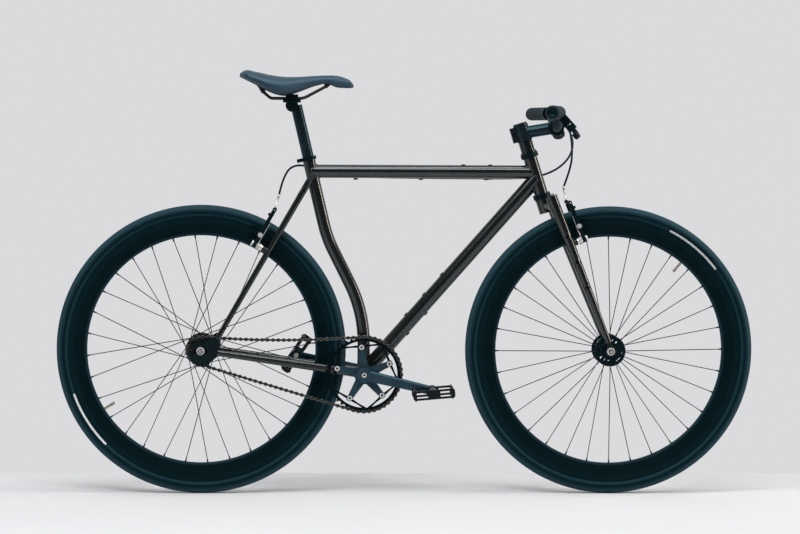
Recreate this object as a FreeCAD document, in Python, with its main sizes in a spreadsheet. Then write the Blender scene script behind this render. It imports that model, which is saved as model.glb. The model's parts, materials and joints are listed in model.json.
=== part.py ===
import FreeCAD, Part
import math
import os
from types import SimpleNamespace

import PartDesign
import Sketcher

# A fixed gear bicycle: steel frame with a bent seat tube, segmented fork, deep rims, one chain
# and two rim brakes. +X points forward, +Y to the rider's left and +Z up. The origin lies on
# the ground halfway between the two axles.

# Driving dimensions in millimetres and degrees
SIZES = {
    "wheelbase": 970,
    "running_fit": 0.05,
    "part_gap": 0.3,
    # tyre, tube and rim
    "tyre_radius": 343,
    "tyre_width": 32,
    "tyre_wall": 2.2,
    "bead_width": 2,
    "bead_depth": 4.5,
    "seat_gap": 0.15,
    "tube_wall": 0.9,
    "valve_diameter": 6,
    "valve_reach": 28,
    "valve_cap_length": 9,
    "valve_cap_diameter": 7,
    "rim_outer_radius": 316,
    "rim_inner_radius": 270.5,
    "rim_width": 23,
    "rim_track_height": 17,
    "rim_wall": 1.6,
    "rim_hook": 1.8,
    "rim_bed_depth": 7,
    "rim_nose_width": 6,
    "rim_nose_round": 2.5,
    # hubs, spokes and axles
    "spoke_diameter": 2,
    "spoke_circle_radius": 33,
    "flange_radius": 37,
    "flange_thickness": 3,
    "front_flange_spacing": 70,
    "rear_flange_spacing": 62,
    "hub_barrel_radius": 13,
    "hub_cone_radius": 18,
    "hub_cone_length": 8,
    "hub_cap_radius": 15,
    "flange_slot_inner": 22,
    "flange_slot_outer": 29,
    "flange_slot_angle": 14,
    "hub_bearing_radius": 11,
    "hub_bearing_width": 8,
    "axle_diameter": 9.5,
    "locknut_length": 4,
    "locknut_radius": 9,
    "front_hub_width": 100,
    "rear_hub_width": 120,
    "washer_radius": 11,
    "washer_thickness": 2,
    "nut_across_flats": 15,
    "nut_length": 9,
    "axle_tail": 3,
    # chain drive
    "chain_pitch": 12.7,
    "roller_diameter": 7.7,
    "roller_seat": 8,
    "tooth_height": 2.8,
    "tooth_thickness": 2.9,
    "chain_inner_width": 3.3,
    "plate_thickness": 1.1,
    "plate_height": 8.6,
    "chain_sag_radius": 2300,
    "chain_line": 45,
    "cog_seat_radius": 17,
    "cog_boss_radius": 22,
    "lockring_radius": 20,
    "lockring_width": 4,
    "ring_rim_inner": 79,
    "ring_bolt_circle": 130,
    "ring_bolt_diameter": 10,
    "ring_tab_radius": 8,
    "ring_strut_width": 3.2,
    "bottom_bracket_drop": 56,
    "crank_length": 165,
    "crank_angle": -12.8,
    "crank_boss_radius": 18,
    "crank_inner_face": 48,
    "crank_boss_length": 24,
    "crank_arm_width": 27,
    "crank_arm_thickness": 15,
    "crank_tip_width": 21,
    "crank_tip_thickness": 12,
    "crank_eye_radius": 13,
    "pedal_face": 75,
    "crank_eye_thickness": 15,
    "spider_thickness": 5,
    "spider_root_width": 24,
    "spider_tip_width": 14,
    "spindle_diameter": 17,
    "spindle_square": 12.7,
    "crank_bolt_radius": 7,
    "crank_bolt_length": 4,
    "ring_bolt_head_radius": 6.5,
    "ring_bolt_head_length": 2,
    # pedals
    "pedal_length": 98,
    "pedal_width": 92,
    "pedal_height": 22,
    "pedal_plate": 5,
    "pedal_bar": 6,
    "pedal_barrel_radius": 11,
    "pedal_axle_radius": 6,
    "pedal_collar_radius": 9,
    "pedal_offset": 5,
    "right_pedal_tilt": 5,
    "left_pedal_tilt": 55,
    # frame
    "head_angle": 72.5,
    "fork_rake": 44,
    "head_tube_rise": 404,
    "head_tube_length": 90,
    "head_tube_diameter": 33,
    "tube_wall_thickness": 1.2,
    "top_tube_diameter": 31.8,
    "top_tube_height": 766.5,
    "down_tube_diameter": 34.9,
    "down_tube_join_height": 752,
    "seat_tube_diameter": 30,
    "seat_tube_top": 800.4,
    "seat_bend_low": 433,
    "seat_bend_high": 609,
    "seat_bend_low_radius": 320,
    "seat_bend_high_radius": 280,
    "seat_slope_middle": 26.6,
    "seat_slope_top": 13.3,
    "seat_bore_diameter": 27.3,
    "shell_diameter": 41,
    "shell_width": 68,
    "shell_bore": 34.6,
    "cup_flange_width": 5,
    "cup_depth": 18,
    "crank_bearing_radius": 14,
    "crank_bearing_width": 8,
    "dropout_thickness": 6,
    "dropout_length": 69,
    "dropout_height": 46,
    "dropout_tail": 25,
    "dropout_tab_depth": 14,
    "axle_slot_clearance": 0.3,
    "seatstay_top_diameter": 16,
    "seatstay_tip_diameter": 12,
    "seatstay_top_spread": 18,
    "seatstay_top_height": 757,
    "seatstay_cap_angle": 24,
    "chainstay_height": 22,
    "chainstay_width": 15,
    "chainstay_tip_height": 14.5,
    "chainstay_tip_width": 12,
    "chainstay_root_spread": 24,
    "bridge_diameter": 12,
    "bridge_tyre_gap": 22,
    "collar_height": 8.5,
    "collar_wall": 3.6,
    "collar_ear_length": 12,
    "collar_ear_width": 16,
    "collar_bolt_radius": 3,
    "collar_bolt_length": 24,
    "boss_diameter": 10,
    "boss_thread_diameter": 5,
    "boss_depth": 8,
    "boss_rise": 1.6,
    "boss_spacing": 64,
    "top_tube_boss_start": 135.6,
    "down_tube_boss_start": 171,
    "down_tube_lower_boss_start": 140,
    "stay_boss_diameter": 7.5,
    "stay_boss_upper": 722,
    "stay_boss_lower": 398,
    # headset and fork
    "steerer_diameter": 25.4,
    "cup_radius": 21,
    "cup_height": 11,
    "cup_skirt": 12,
    "head_bearing_radius": 17,
    "head_bearing_height": 7,
    "race_radius": 19,
    "race_height": 4,
    "spacer_radius": 16.5,
    "spacer_height": 26,
    "crown_height": 31,
    "crown_radius": 18,
    "crown_arm_diameter": 25,
    "blade_top_diameter": 28.6,
    "blade_tip_diameter": 14,
    "blade_wall": 1.3,
    "blade_top_rise": 394,
    "blade_tip_rise": 21,
    "blade_top_offset": 17.3,
    "blade_tip_offset": 45.5,
    "blade_top_spread": 41,
    "blade_tip_spread": 52.5,
    "fork_plate_thickness": 5,
    "fork_plate_radius": 13,
    "fork_boss_top_rise": 290,
    # stem, bar and levers
    "stem_clamp_height": 40,
    "stem_clamp_radius": 18,
    "stem_length": 79,
    "stem_slope": 9.5,
    "stem_body_diameter": 29,
    "bar_clamp_radius": 19.5,
    "bar_clamp_width": 42,
    "faceplate_gap": 2,
    "top_cap_height": 4,
    "stem_bolt_radius": 4,
    "bar_diameter": 22.2,
    "bar_centre_diameter": 25.4,
    "bar_wall": 2.2,
    "bar_width": 580,
    "bar_rise": 34,
    "bar_sweep": 33,
    "bar_bend_radius": 60,
    "grip_diameter": 32,
    "plug_radius": 13.5,
    "plug_length": 4,
    "lever_angle": -47,
    "perch_width": 16,
    "perch_ring_radius": 16,
    "perch_gap": 10,
    "perch_reach": 46,
    "perch_ear": 4,
    "adjuster_length": 18,
    "adjuster_radius": 4.5,
    "lever_thickness": 10,
    "lever_pin_radius": 3,
    "lever_eye_radius": 8,
    "lever_length": 108,
    # brakes
    "brake_stud_radius": 4,
    "brake_stand_off": 36,
    "brake_stud_spread": 40,
    "brake_stud_base_radius": 7.5,
    "brake_bolt_head": 4,
    "brake_bolt_radius": 7,
    "carrier_rise": 93,
    "carrier_radius": 5,
    "front_stud_rise": 250,
    "rear_stud_rise": 236,
    "brake_arm_length": 88,
    "brake_arm_width": 13,
    "brake_arm_tip_width": 9,
    "brake_arm_thickness": 9,
    "brake_arm_lean": 5,
    "brake_boss_radius": 8,
    "pad_gap": 1.5,
    "pad_length": 52,
    "pad_height": 11,
    "pad_thickness": 9,
    "pad_post_radius": 3,
    "pad_washer_radius": 7,
    "pad_inset": 9,
    "housing_diameter": 5,
    "noodle_diameter": 4.6,
    "wire_diameter": 1.6,
    "boot_radius": 4.5,
    "boot_overlap": 2,
    "guide_radius": 4.4,
    "guide_angle": 55,
    "guide_behind_head": 115,
    "guide_ahead_of_seat": 105,
    "join_behind_head": 100,
    "loop_end_behind_head": 43,
    "housing_start": 40,
    "loop_start": 35,
    "housing_leaves_tube": 65,
    # seatpost and saddle
    "seatpost_diameter": 27.2,
    "seatpost_insert": 100,
    "post_head_radius": 15,
    "post_head_width": 36,
    "post_head_height": 922,
    "post_head_setback": 10.2,
    "clamp_length": 42,
    "clamp_plate": 6,
    "clamp_bolt_radius": 3,
    "rail_diameter": 7,
    "rail_spread": 22,
    "rail_rise": 16.5,
    "rail_rear_reach": 50,
    "rail_front_reach": 27,
    "rail_tail_length": 20,
    "rail_tail_rise": 17,
    "rail_nose_length": 56,
    "rail_nose_rise": 30,
    "rail_tail_bend": 14,
    "rail_nose_bend": 40,
    "saddle_base_thickness": 4,
}

SPOKES_PER_WHEEL = 32
CROSSINGS = 3
RING_TEETH = 44
COG_TEETH = 16
CHAIN_LINKS = 92
SPIDER_ARMS = 5
FLANGE_SLOTS = 8
SPOKE_SIDES = 6
FRONT_VALVE_ANGLE = 50.6
REAR_VALVE_ANGLE = 211.8
FRONT_SPOKE_ANGLE = 0.5
REAR_SPOKE_ANGLE = 3.3

os.makedirs("parts", exist_ok=True)
doc = FreeCAD.newDocument("fixed_gear_bike")
Vector = FreeCAD.Vector
X_AXIS = Vector(1, 0, 0)
Y_AXIS = Vector(0, 1, 0)
Z_AXIS = Vector(0, 0, 1)
NODES = []


class Size:
    """A number together with the spreadsheet formula that gives it."""

    def __init__(self, formula, number):
        self.formula = formula
        self.number = number

    def __float__(self):
        return self.number

    def __neg__(self):
        return combine(0, "-", self)

    def __add__(self, other):
        return combine(self, "+", other)

    def __radd__(self, other):
        return combine(other, "+", self)

    def __sub__(self, other):
        return combine(self, "-", other)

    def __rsub__(self, other):
        return combine(other, "-", self)

    def __mul__(self, other):
        return combine(self, "*", other)

    def __rmul__(self, other):
        return combine(other, "*", self)

    def __truediv__(self, other):
        return combine(self, "/", other)


def as_size(amount):
    if isinstance(amount, Size):
        return amount
    return Size(repr(float(amount)), float(amount))


def combine(left, sign, right):
    left = as_size(left)
    right = as_size(right)
    if sign == "+":
        number = left.number + right.number
    elif sign == "-":
        number = left.number - right.number
    elif sign == "*":
        number = left.number * right.number
    else:
        number = left.number / right.number
    return Size("(%s %s %s)" % (left.formula, sign, right.formula), number)


def root(amount):
    return Size("sqrt(%s)" % amount.formula, math.sqrt(amount.number))


def write_sheet():
    """Fills the spreadsheet and returns its cells as named sizes."""
    sheet = doc.addObject("Spreadsheet::Sheet", "Sizes")
    for row, (name, amount) in enumerate(SIZES.items(), 1):
        sheet.set("A%d" % row, name)
        sheet.set("B%d" % row, str(amount))
        sheet.setAlias("B%d" % row, name)
    doc.recompute()
    return SimpleNamespace(**{name: Size("Sizes." + name, float(sheet.get(name))) for name in SIZES})


d = write_sheet()
number = float


def bind(obj, prop, amount):
    """Ties a property to its formula, or sets it where it follows from worked-out points."""
    if isinstance(amount, Size):
        obj.setExpression(prop, amount.formula)
    else:
        setattr(obj, prop, amount)


def node(obj, name):
    obj.Label = name
    NODES.append(obj)
    return obj


def along(direction):
    return FreeCAD.Rotation(Z_AXIS, direction)


def in_frame(origin, x_axis, y_axis):
    """A placement whose own x and y axes point along the two given directions."""
    z_axis = x_axis.cross(y_axis)
    matrix = FreeCAD.Matrix(
        x_axis.x, y_axis.x, z_axis.x, origin.x,
        x_axis.y, y_axis.y, z_axis.y, origin.y,
        x_axis.z, y_axis.z, z_axis.z, origin.z,
        0, 0, 0, 1)
    return FreeCAD.Placement(matrix)


def side_view(centre, turn=0.0):
    """A placement for what is drawn in side view: its own z axis points to the drive side."""
    rotation = FreeCAD.Rotation(X_AXIS, 90) * FreeCAD.Rotation(Z_AXIS, float(turn))
    return FreeCAD.Placement(centre, rotation)


def rod(name, radius, start, end):
    piece = doc.addObject("Part::Cylinder", name)
    bind(piece, "Radius", radius)
    piece.Height = (end - start).Length
    piece.Placement = FreeCAD.Placement(start, along(end - start))
    return piece


def taper(name, start_radius, end_radius, start, end):
    piece = doc.addObject("Part::Cone", name)
    bind(piece, "Radius1", start_radius)
    bind(piece, "Radius2", end_radius)
    piece.Height = (end - start).Length
    piece.Placement = FreeCAD.Placement(start, along(end - start))
    return piece


def block(name, length, width, height, placement):
    """A box centred on its own origin, so that its placement is its middle."""
    piece = doc.addObject("Part::Box", name)
    bind(piece, "Length", length)
    bind(piece, "Width", width)
    bind(piece, "Height", height)
    corner = Vector(-float(length) / 2, -float(width) / 2, -float(height) / 2)
    piece.Placement = placement * FreeCAD.Placement(corner, FreeCAD.Rotation())
    return piece


def cut(name, base, *tools):
    """Takes the tools away from the base, one after another."""
    for left, tool in zip(range(len(tools) - 1, -1, -1), tools):
        piece = doc.addObject("Part::Cut", name + "_trim" if left else name)
        piece.Base = base
        piece.Tool = tool
        base = piece
    return base


def fuse(name, *pieces):
    piece = doc.addObject("Part::MultiFuse", name)
    piece.Shapes = list(pieces)
    return piece


def group(name, *pieces):
    piece = doc.addObject("Part::Compound", name)
    piece.Links = list(pieces)
    return piece


def mirrored(name, source):
    """The twin of a piece on the other side of the bicycle's middle plane."""
    twin = doc.addObject("Part::Mirroring", name)
    twin.Source = source
    twin.Normal = Y_AXIS
    twin.Base = Vector(0, 0, 0)
    return twin


def pair(name, source):
    return group(name, source, mirrored(name + "_twin", source))


def ring(name, outer, bore, start, end):
    return cut(name, rod(name + "_outer", outer, start, end), rod(name + "_bore", bore, start, end))


def coded(name, shape):
    piece = doc.addObject("Part::Feature", name)
    piece.Shape = shape
    return piece


class Hole:
    """A round hole in a sketch."""

    def __init__(self, x, y, radius):
        self.x = x
        self.y = y
        self.radius = radius


def fix(sketch, kind, amount, *ends):
    index = sketch.addConstraint(Sketcher.Constraint(kind, *ends, float(amount)))
    if isinstance(amount, Size):
        sketch.setExpression("Constraints[%d]" % index, amount.formula)


def draw_hole(sketch, hole):
    centre = Vector(float(hole.x), float(hole.y), 0)
    edge = sketch.addGeometry(Part.Circle(centre, Z_AXIS, float(hole.radius)), False)
    fix(sketch, "DistanceX", hole.x, -1, 1, edge, 3)
    fix(sketch, "DistanceY", hole.y, -1, 1, edge, 3)
    fix(sketch, "Radius", hole.radius, edge)


def draw_edge(sketch, start, vertex):
    """Adds the edge that ends at a vertex and returns which of its ends come first and last."""
    end = Vector(float(vertex[0]), float(vertex[1]), 0)
    if len(vertex) == 2:
        sketch.addGeometry(Part.LineSegment(start, end), False)
        return 1, 2
    radius, turn = float(vertex[2]), vertex[3]
    chord = end - start
    rise = math.sqrt(max(radius ** 2 - chord.Length ** 2 / 4, 0))
    centre = (start + end) * 0.5 + Vector(-chord.y, chord.x, 0).normalize() * turn * rise
    angles = [math.atan2(p.y - centre.y, p.x - centre.x) for p in (start, end)]
    if turn < 0:
        angles.reverse()
    if angles[1] < angles[0]:
        angles[1] += 2 * math.pi
    circle = Part.Circle(centre, Z_AXIS, radius)
    sketch.addGeometry(Part.ArcOfCircle(circle, *angles), False)
    return (1, 2) if turn > 0 else (2, 1)


def draw_outline(sketch, outline):
    """Adds a closed outline. A vertex is (x, y), or (x, y, radius, turn) where an arc leads to it.

    The arc turns left for a turn of 1 and right for -1, by less than half a circle.
    """
    first = sketch.GeometryCount
    corners = [Vector(float(v[0]), float(v[1]), 0) for v in outline]
    ends = [draw_edge(sketch, corners[i - 1], vertex) for i, vertex in enumerate(outline)]
    for i, vertex in enumerate(outline):
        edge = first + i
        after = (i + 1) % len(outline)
        rule = Sketcher.Constraint("Coincident", edge, ends[i][1], first + after, ends[after][0])
        sketch.addConstraint(rule)
        fix(sketch, "DistanceX", vertex[0], -1, 1, edge, ends[i][1])
        fix(sketch, "DistanceY", vertex[1], -1, 1, edge, ends[i][1])
        if len(vertex) > 2:
            fix(sketch, "Radius", vertex[2], edge)


def sketch_on(body, role, outlines):
    sketch = body.newObject("Sketcher::SketchObject", body.Name + "_sketch")
    plane = [f for f in body.Origin.OriginFeatures if f.Role == role][0]
    sketch.AttachmentSupport = [(plane, "")]
    sketch.MapMode = "FlatFace"
    for outline in outlines:
        if isinstance(outline, Hole):
            draw_hole(sketch, outline)
        else:
            draw_outline(sketch, outline)
    return sketch


def turned(name, *outlines):
    """A piece turned about its own z axis from outlines of (radius, height)."""
    body = doc.addObject("PartDesign::Body", name)
    sketch = sketch_on(body, "XZ_Plane", outlines)
    feature = body.newObject("PartDesign::Revolution", name + "_turn")
    feature.Profile = sketch
    feature.ReferenceAxis = (sketch, ["V_Axis"])
    feature.Angle = 360
    return body


def plate(name, thickness, *outlines):
    """A flat piece cut to outlines in its own x and y, from z = 0 up to its thickness."""
    body = doc.addObject("PartDesign::Body", name)
    pad(body, thickness, *outlines)
    return body


def pad(body, thickness, *outlines):
    sketch = sketch_on(body, "XY_Plane", outlines)
    feature = body.newObject("PartDesign::Pad", body.Name + "_pad")
    feature.Profile = sketch
    bind(feature, "Length", thickness)
    return feature


def pocket(body, role, length, *outlines):
    """Cuts outlines out of a body along the plane's own normal direction."""
    sketch = sketch_on(body, role, outlines)
    feature = body.newObject("PartDesign::Pocket", body.Name + "_pocket")
    feature.Profile = sketch
    feature.Reversed = True
    bind(feature, "Length", length)
    return feature


def repeat(body, feature, count):
    """Repeats a feature round the body's z axis."""
    pattern = body.newObject("PartDesign::PolarPattern", body.Name + "_pattern")
    pattern.Originals = [feature]
    pattern.Axis = (feature.Profile[0], ["N_Axis"])
    pattern.Angle = 360
    pattern.Occurrences = count
    body.Tip = pattern
    return pattern


def polar(radius, angle):
    """Two sketch coordinates, radius a size and angle in plain degrees."""
    return radius * math.cos(math.radians(angle)), radius * math.sin(math.radians(angle))


def spun(radius, angle):
    """A point of the side view, at a radius and an angle up from straight ahead."""
    turn = math.radians(float(angle))
    return Vector(math.cos(turn), 0, math.sin(turn)) * float(radius)


def rounded_path(points, radii):
    """Straight runs between the points, joined by tangent arcs of the given radii."""
    edges = []
    start = points[0]
    for before, corner, after, radius in zip(points, points[1:], points[2:], radii):
        into = (corner - before).normalize()
        out = (after - corner).normalize()
        half_turn = into.getAngle(out) / 2
        reach = radius * math.tan(half_turn)
        arc_start = corner - into * reach
        arc_end = corner + out * reach
        inward = (out - into).normalize()
        middle = corner + inward * (radius / math.cos(half_turn) - radius)
        if (arc_start - start).Length > 1e-6:
            edges.append(Part.LineSegment(start, arc_start).toShape())
        edges.append(Part.Arc(arc_start, middle, arc_end).toShape())
        start = arc_end
    edges.append(Part.LineSegment(start, points[-1]).toShape())
    return Part.Wire(edges)


def pipe(path, radius):
    """A round bar of the given radius along a path of runs and arcs."""
    first = path.OrderedEdges[0]
    start = first.valueAt(first.FirstParameter)
    tangent = first.tangentAt(first.FirstParameter)
    section = Part.Wire([Part.Circle(start, tangent, radius).toShape()])
    return path.makePipeShell([section], True, False)


def cord(name, points, diameter):
    """A cable along hand-chosen points: each arc is as large as its two runs allow."""
    radii = []
    for before, corner, after in zip(points, points[1:], points[2:]):
        shorter = min((corner - before).Length, (after - corner).Length)
        half_turn = (corner - before).getAngle(after - corner) / 2
        radii.append(0.45 * shorter / math.tan(half_turn))
    path = rounded_path(points, radii)
    shape = pipe(path, diameter / 2)
    expected = math.pi * diameter ** 2 / 4 * path.Length
    print("%s: %.0f mm long, least radius %.1f, volume ratio %.4f"
          % (name, path.Length, min(radii), shape.Volume / expected))
    return coded(name, shape)


# Layout: axles, chain, bottom bracket and the steering axis
rear = Vector(-number(d.wheelbase) / 2, 0, number(d.tyre_radius))
front = Vector(number(d.wheelbase) / 2, 0, number(d.tyre_radius))


def pitch_radius(teeth):
    return number(d.chain_pitch) / 2 / math.sin(math.pi / teeth)


def chain_route(distance):
    """The chain's centre line as arcs and one straight run, for axles this far apart.

    The cog lies at the origin and the ring at (distance, 0). Each piece of the route is
    (centre, radius, first angle, signed sweep), or (start, end) for the straight lower run.
    """
    ring_radius = pitch_radius(RING_TEETH)
    cog_radius = pitch_radius(COG_TEETH)
    sag = number(d.chain_sag_radius)
    to_cog = sag + cog_radius
    to_ring = sag + ring_radius
    across = (to_cog ** 2 - to_ring ** 2 + distance ** 2) / (2 * distance)
    up = math.sqrt(to_cog ** 2 - across ** 2)
    cog_top = math.atan2(up, across)
    ring_top = math.atan2(up, across - distance)
    lean = math.asin((ring_radius - cog_radius) / distance)
    low = -math.pi / 2 - lean
    cog_low = Vector(cog_radius * math.cos(low), cog_radius * math.sin(low), 0)
    ring_low = Vector(distance + ring_radius * math.cos(low), ring_radius * math.sin(low), 0)
    origin = Vector(0, 0, 0)
    centre = Vector(distance, 0, 0)
    upper = Vector(across, up, 0)
    return [
        (centre, ring_radius, low, ring_top - low),
        (upper, sag, ring_top + math.pi, cog_top - ring_top),
        (origin, cog_radius, cog_top, low + 2 * math.pi - cog_top),
        (cog_low, ring_low),
    ]


def route_length(piece):
    if len(piece) == 2:
        return (piece[1] - piece[0]).Length
    return piece[1] * abs(piece[3])


def route_point(route, travelled):
    """The point at a travelled length along the closed route."""
    travelled %= sum(route_length(piece) for piece in route)
    for piece in route:
        length = route_length(piece)
        if travelled <= length:
            break
        travelled -= length
    share = travelled / length
    if len(piece) == 2:
        return piece[0] + (piece[1] - piece[0]) * share
    angle = piece[2] + piece[3] * share
    return piece[0] + Vector(math.cos(angle), math.sin(angle), 0) * piece[1]


def chain_pins(distance):
    """The pins one pitch apart along the route, and how far the last link misses the first pin."""
    route = chain_route(distance)
    pitch = number(d.chain_pitch)
    travelled = 0.0
    pins = []
    for link in range(CHAIN_LINKS):
        pins.append(route_point(route, travelled))
        low, high = travelled + pitch, travelled + 1.2 * pitch
        for halving in range(40):
            middle = (low + high) / 2
            if (route_point(route, middle) - pins[-1]).Length < pitch:
                low = middle
            else:
                high = middle
        travelled = low
    return pins, travelled - sum(route_length(piece) for piece in route)


def chain_centres():
    """The axle distance at which the chain closes, by halving."""
    pitch = number(d.chain_pitch)
    middle = pitch * (CHAIN_LINKS / 2 - (RING_TEETH + COG_TEETH) / 4)
    low, high = 0.9 * middle, 1.05 * middle
    for halving in range(40):
        distance = (low + high) / 2
        if chain_pins(distance)[1] > 0:
            low = distance
        else:
            high = distance
    return distance


axle_distance = chain_centres()
drop = number(d.bottom_bracket_drop)
bracket = Vector(rear.x + math.sqrt(axle_distance ** 2 - drop ** 2), 0, rear.z - drop)
chain_slope = math.degrees(math.atan2(bracket.z - rear.z, bracket.x - rear.x))

head_turn = math.radians(number(d.head_angle))
steer_up = Vector(-math.cos(head_turn), 0, math.sin(head_turn))
steer_forward = Vector(math.sin(head_turn), 0, math.cos(head_turn))
steer_foot = front - steer_forward * number(d.fork_rake)


def on_steerer(rise, forward=0.0, left=0.0):
    """A point at a height along the steering axis, ahead of it and to its left."""
    return steer_foot + steer_up * float(rise) + steer_forward * float(forward) + Y_AXIS * float(left)


def steerer_at_height(height):
    return on_steerer((float(height) - steer_foot.z) / steer_up.z)


# Wheels
def tyre(name, centre):
    """A clincher casing, open between its two beads."""
    section = d.tyre_width / 2
    middle = d.tyre_radius - section
    inner = section - d.tyre_wall
    seat = d.rim_outer_radius + d.seat_gap
    outer_half = root(section * section - (middle - seat) * (middle - seat))
    bead_out = d.rim_width / 2 - d.rim_hook - d.seat_gap
    bead_in = bead_out - d.bead_width
    toe = d.rim_outer_radius - d.bead_depth
    inner_start = middle - root(inner * inner - bead_in * bead_in)
    body = turned(name, [
        (seat, outer_half),
        (d.tyre_radius, 0, section, -1),
        (seat, -outer_half, section, -1),
        (seat, -bead_out),
        (toe, -bead_out),
        (toe, -bead_in),
        (inner_start, -bead_in),
        (middle + inner, 0, inner, 1),
        (inner_start, bead_in, inner, 1),
        (toe, bead_in),
        (toe, bead_out),
        (seat, bead_out),
    ])
    body.Placement = side_view(centre)
    return node(body, name)


def inner_tube(name, centre, valve_angle):
    """The hollow tube inside the tyre, with its valve through the rim."""
    middle = d.tyre_radius - d.tyre_width / 2
    outer = d.tyre_width / 2 - d.tyre_wall - d.part_gap
    skins = []
    for skin, radius in (("skin", outer), ("air", outer - d.tube_wall)):
        torus = doc.addObject("Part::Torus", name + "_" + skin)
        bind(torus, "Radius1", middle)
        bind(torus, "Radius2", radius)
        torus.Placement = side_view(centre)
        skins.append(torus)
    outward = spun(1, valve_angle)
    root_at = centre + outward * number(middle - outer - d.seat_gap)
    cap_at = centre + outward * number(d.rim_inner_radius - d.valve_reach + d.valve_cap_length)
    tip_at = centre + outward * number(d.rim_inner_radius - d.valve_reach)
    stem = rod(name + "_valve", d.valve_diameter / 2, cap_at, root_at)
    cap = rod(name + "_valve_cap", d.valve_cap_diameter / 2, tip_at, cap_at)
    return node(group(name, cut(name + "_wall", *skins), stem, cap), name)


def rim(name, centre, valve_angle):
    """A deep hollow rim with brake tracks, drilled for the valve."""
    half = d.rim_width / 2
    hook = half - d.rim_hook
    bed = d.rim_outer_radius - d.rim_bed_depth
    knee = d.rim_outer_radius - d.rim_track_height
    nose = d.rim_inner_radius
    nose_half = d.rim_nose_width / 2
    shoulder = nose + d.rim_nose_round
    shoulder_half = nose_half + d.rim_nose_round * 0.6
    outer_wall = [
        (d.rim_outer_radius, half), (d.rim_outer_radius, hook), (bed, hook),
        (bed, -hook), (d.rim_outer_radius, -hook), (d.rim_outer_radius, -half),
        (knee, -half), (shoulder, -shoulder_half), (nose, -nose_half),
        (nose, nose_half), (shoulder, shoulder_half), (knee, half),
    ]
    chamber_half = half - d.rim_wall
    chamber_nose = nose + d.rim_wall + d.rim_nose_round * 0.6
    chamber = [
        (bed - d.rim_wall, chamber_half), (knee, chamber_half), (chamber_nose, nose_half),
        (chamber_nose, -nose_half), (knee, -chamber_half), (bed - d.rim_wall, -chamber_half),
    ]
    body = turned(name, outer_wall, chamber)
    pocket(body, "YZ_Plane", d.rim_outer_radius, Hole(0, 0, d.valve_diameter / 2 + d.seat_gap))
    body.Placement = side_view(centre, valve_angle)
    return node(body, name)


def hub_shell(name, spacing, drive_end, far_end, drive_radius):
    """A high-flange hub shell with windows in its flanges."""
    outside = spacing / 2 + d.flange_thickness / 2
    inside = spacing / 2 - d.flange_thickness / 2
    waist = inside - d.hub_cone_length
    body = turned(name, [
        (d.hub_bearing_radius, -far_end), (d.hub_cap_radius, -far_end),
        (d.hub_cap_radius, -outside), (d.flange_radius, -outside),
        (d.flange_radius, -inside), (d.hub_cone_radius, -inside),
        (d.hub_barrel_radius, -waist), (d.hub_barrel_radius, waist),
        (d.hub_cone_radius, inside), (d.flange_radius, inside),
        (d.flange_radius, outside), (drive_radius, outside),
        (drive_radius, drive_end), (d.hub_bearing_radius, drive_end),
    ])
    window_angle = number(d.flange_slot_angle)
    window = [
        polar(d.flange_slot_outer, -window_angle),
        (*polar(d.flange_slot_outer, window_angle), d.flange_slot_outer, 1),
        polar(d.flange_slot_inner, window_angle),
        (*polar(d.flange_slot_inner, -window_angle), d.flange_slot_inner, -1),
    ]
    feature = pocket(body, "XY_Plane", spacing * 2, window)
    feature.Midplane = True
    repeat(body, feature, FLANGE_SLOTS)
    return body


def hub(name, centre, spacing, drive_end, far_end, drive_radius):
    """The shell and its two sealed bearings, which run on the axle."""
    shell = hub_shell(name + "_shell", spacing, drive_end, far_end, drive_radius)
    shell.Placement = side_view(centre)
    race = d.axle_diameter / 2 + d.running_fit
    bearings = []
    for place, end in (("drive", drive_end), ("far", d.hub_bearing_width - far_end)):
        bearing = turned(name + "_bearing_" + place, [
            (race, end - d.hub_bearing_width), (d.hub_bearing_radius, end - d.hub_bearing_width),
            (d.hub_bearing_radius, end), (race, end),
        ])
        bearing.Placement = side_view(centre)
        bearings.append(bearing)
    return node(group(name, shell, *bearings), name)


def spoke_bar(start, end):
    """A slim bar with few sides from one point to another."""
    direction = end - start
    radius = number(d.spoke_diameter) / 2
    turn = along(direction)
    corners = []
    for corner in range(SPOKE_SIDES + 1):
        angle = 2 * math.pi * corner / SPOKE_SIDES
        corners.append(start + turn.multVec(Vector(math.cos(angle), math.sin(angle), 0) * radius))
    return Part.Face(Part.makePolygon(corners)).extrude(direction)


def spokes(name, centre, spacing, first_angle, crossings):
    """Spokes from both flanges to the rim, radial or crossed.

    Crossed spokes lean forwards and backwards in turn, and start outside and inside the flange.
    """
    per_side = SPOKES_PER_WHEEL // 2
    step = 360 / per_side
    rim_reach = number(d.rim_inner_radius) - number(d.seat_gap)
    circle = number(d.spoke_circle_radius)
    edge = number(d.flange_radius)
    thick = number(d.spoke_diameter)
    bars = []
    for side in (-1, 1):
        face = number(spacing) / 2
        for k in range(per_side):
            rim_angle = first_angle + step * (k + (0.5 if side > 0 else 0))
            lean = crossings * step * (1 if k % 2 else -1)
            outside = crossings == 0 or k % 2
            hub_point = spun(circle, rim_angle + lean)
            rim_point = spun(rim_reach, rim_angle)
            span = rim_point - hub_point
            along_flange = edge - circle
            if crossings:
                along_flange = math.sqrt(edge ** 2 - circle ** 2)
            fall = face / span.Length * along_flange
            rise = number(d.flange_thickness) / 2 + thick / 2
            offset = face + rise + fall if outside else face - rise
            start = centre + hub_point + Y_AXIS * side * offset
            end = centre + rim_point + Y_AXIS * side * (thick / 2)
            bars.append(spoke_bar(start, end))
    return node(coded(name, Part.makeCompound(bars)), name)


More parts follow.
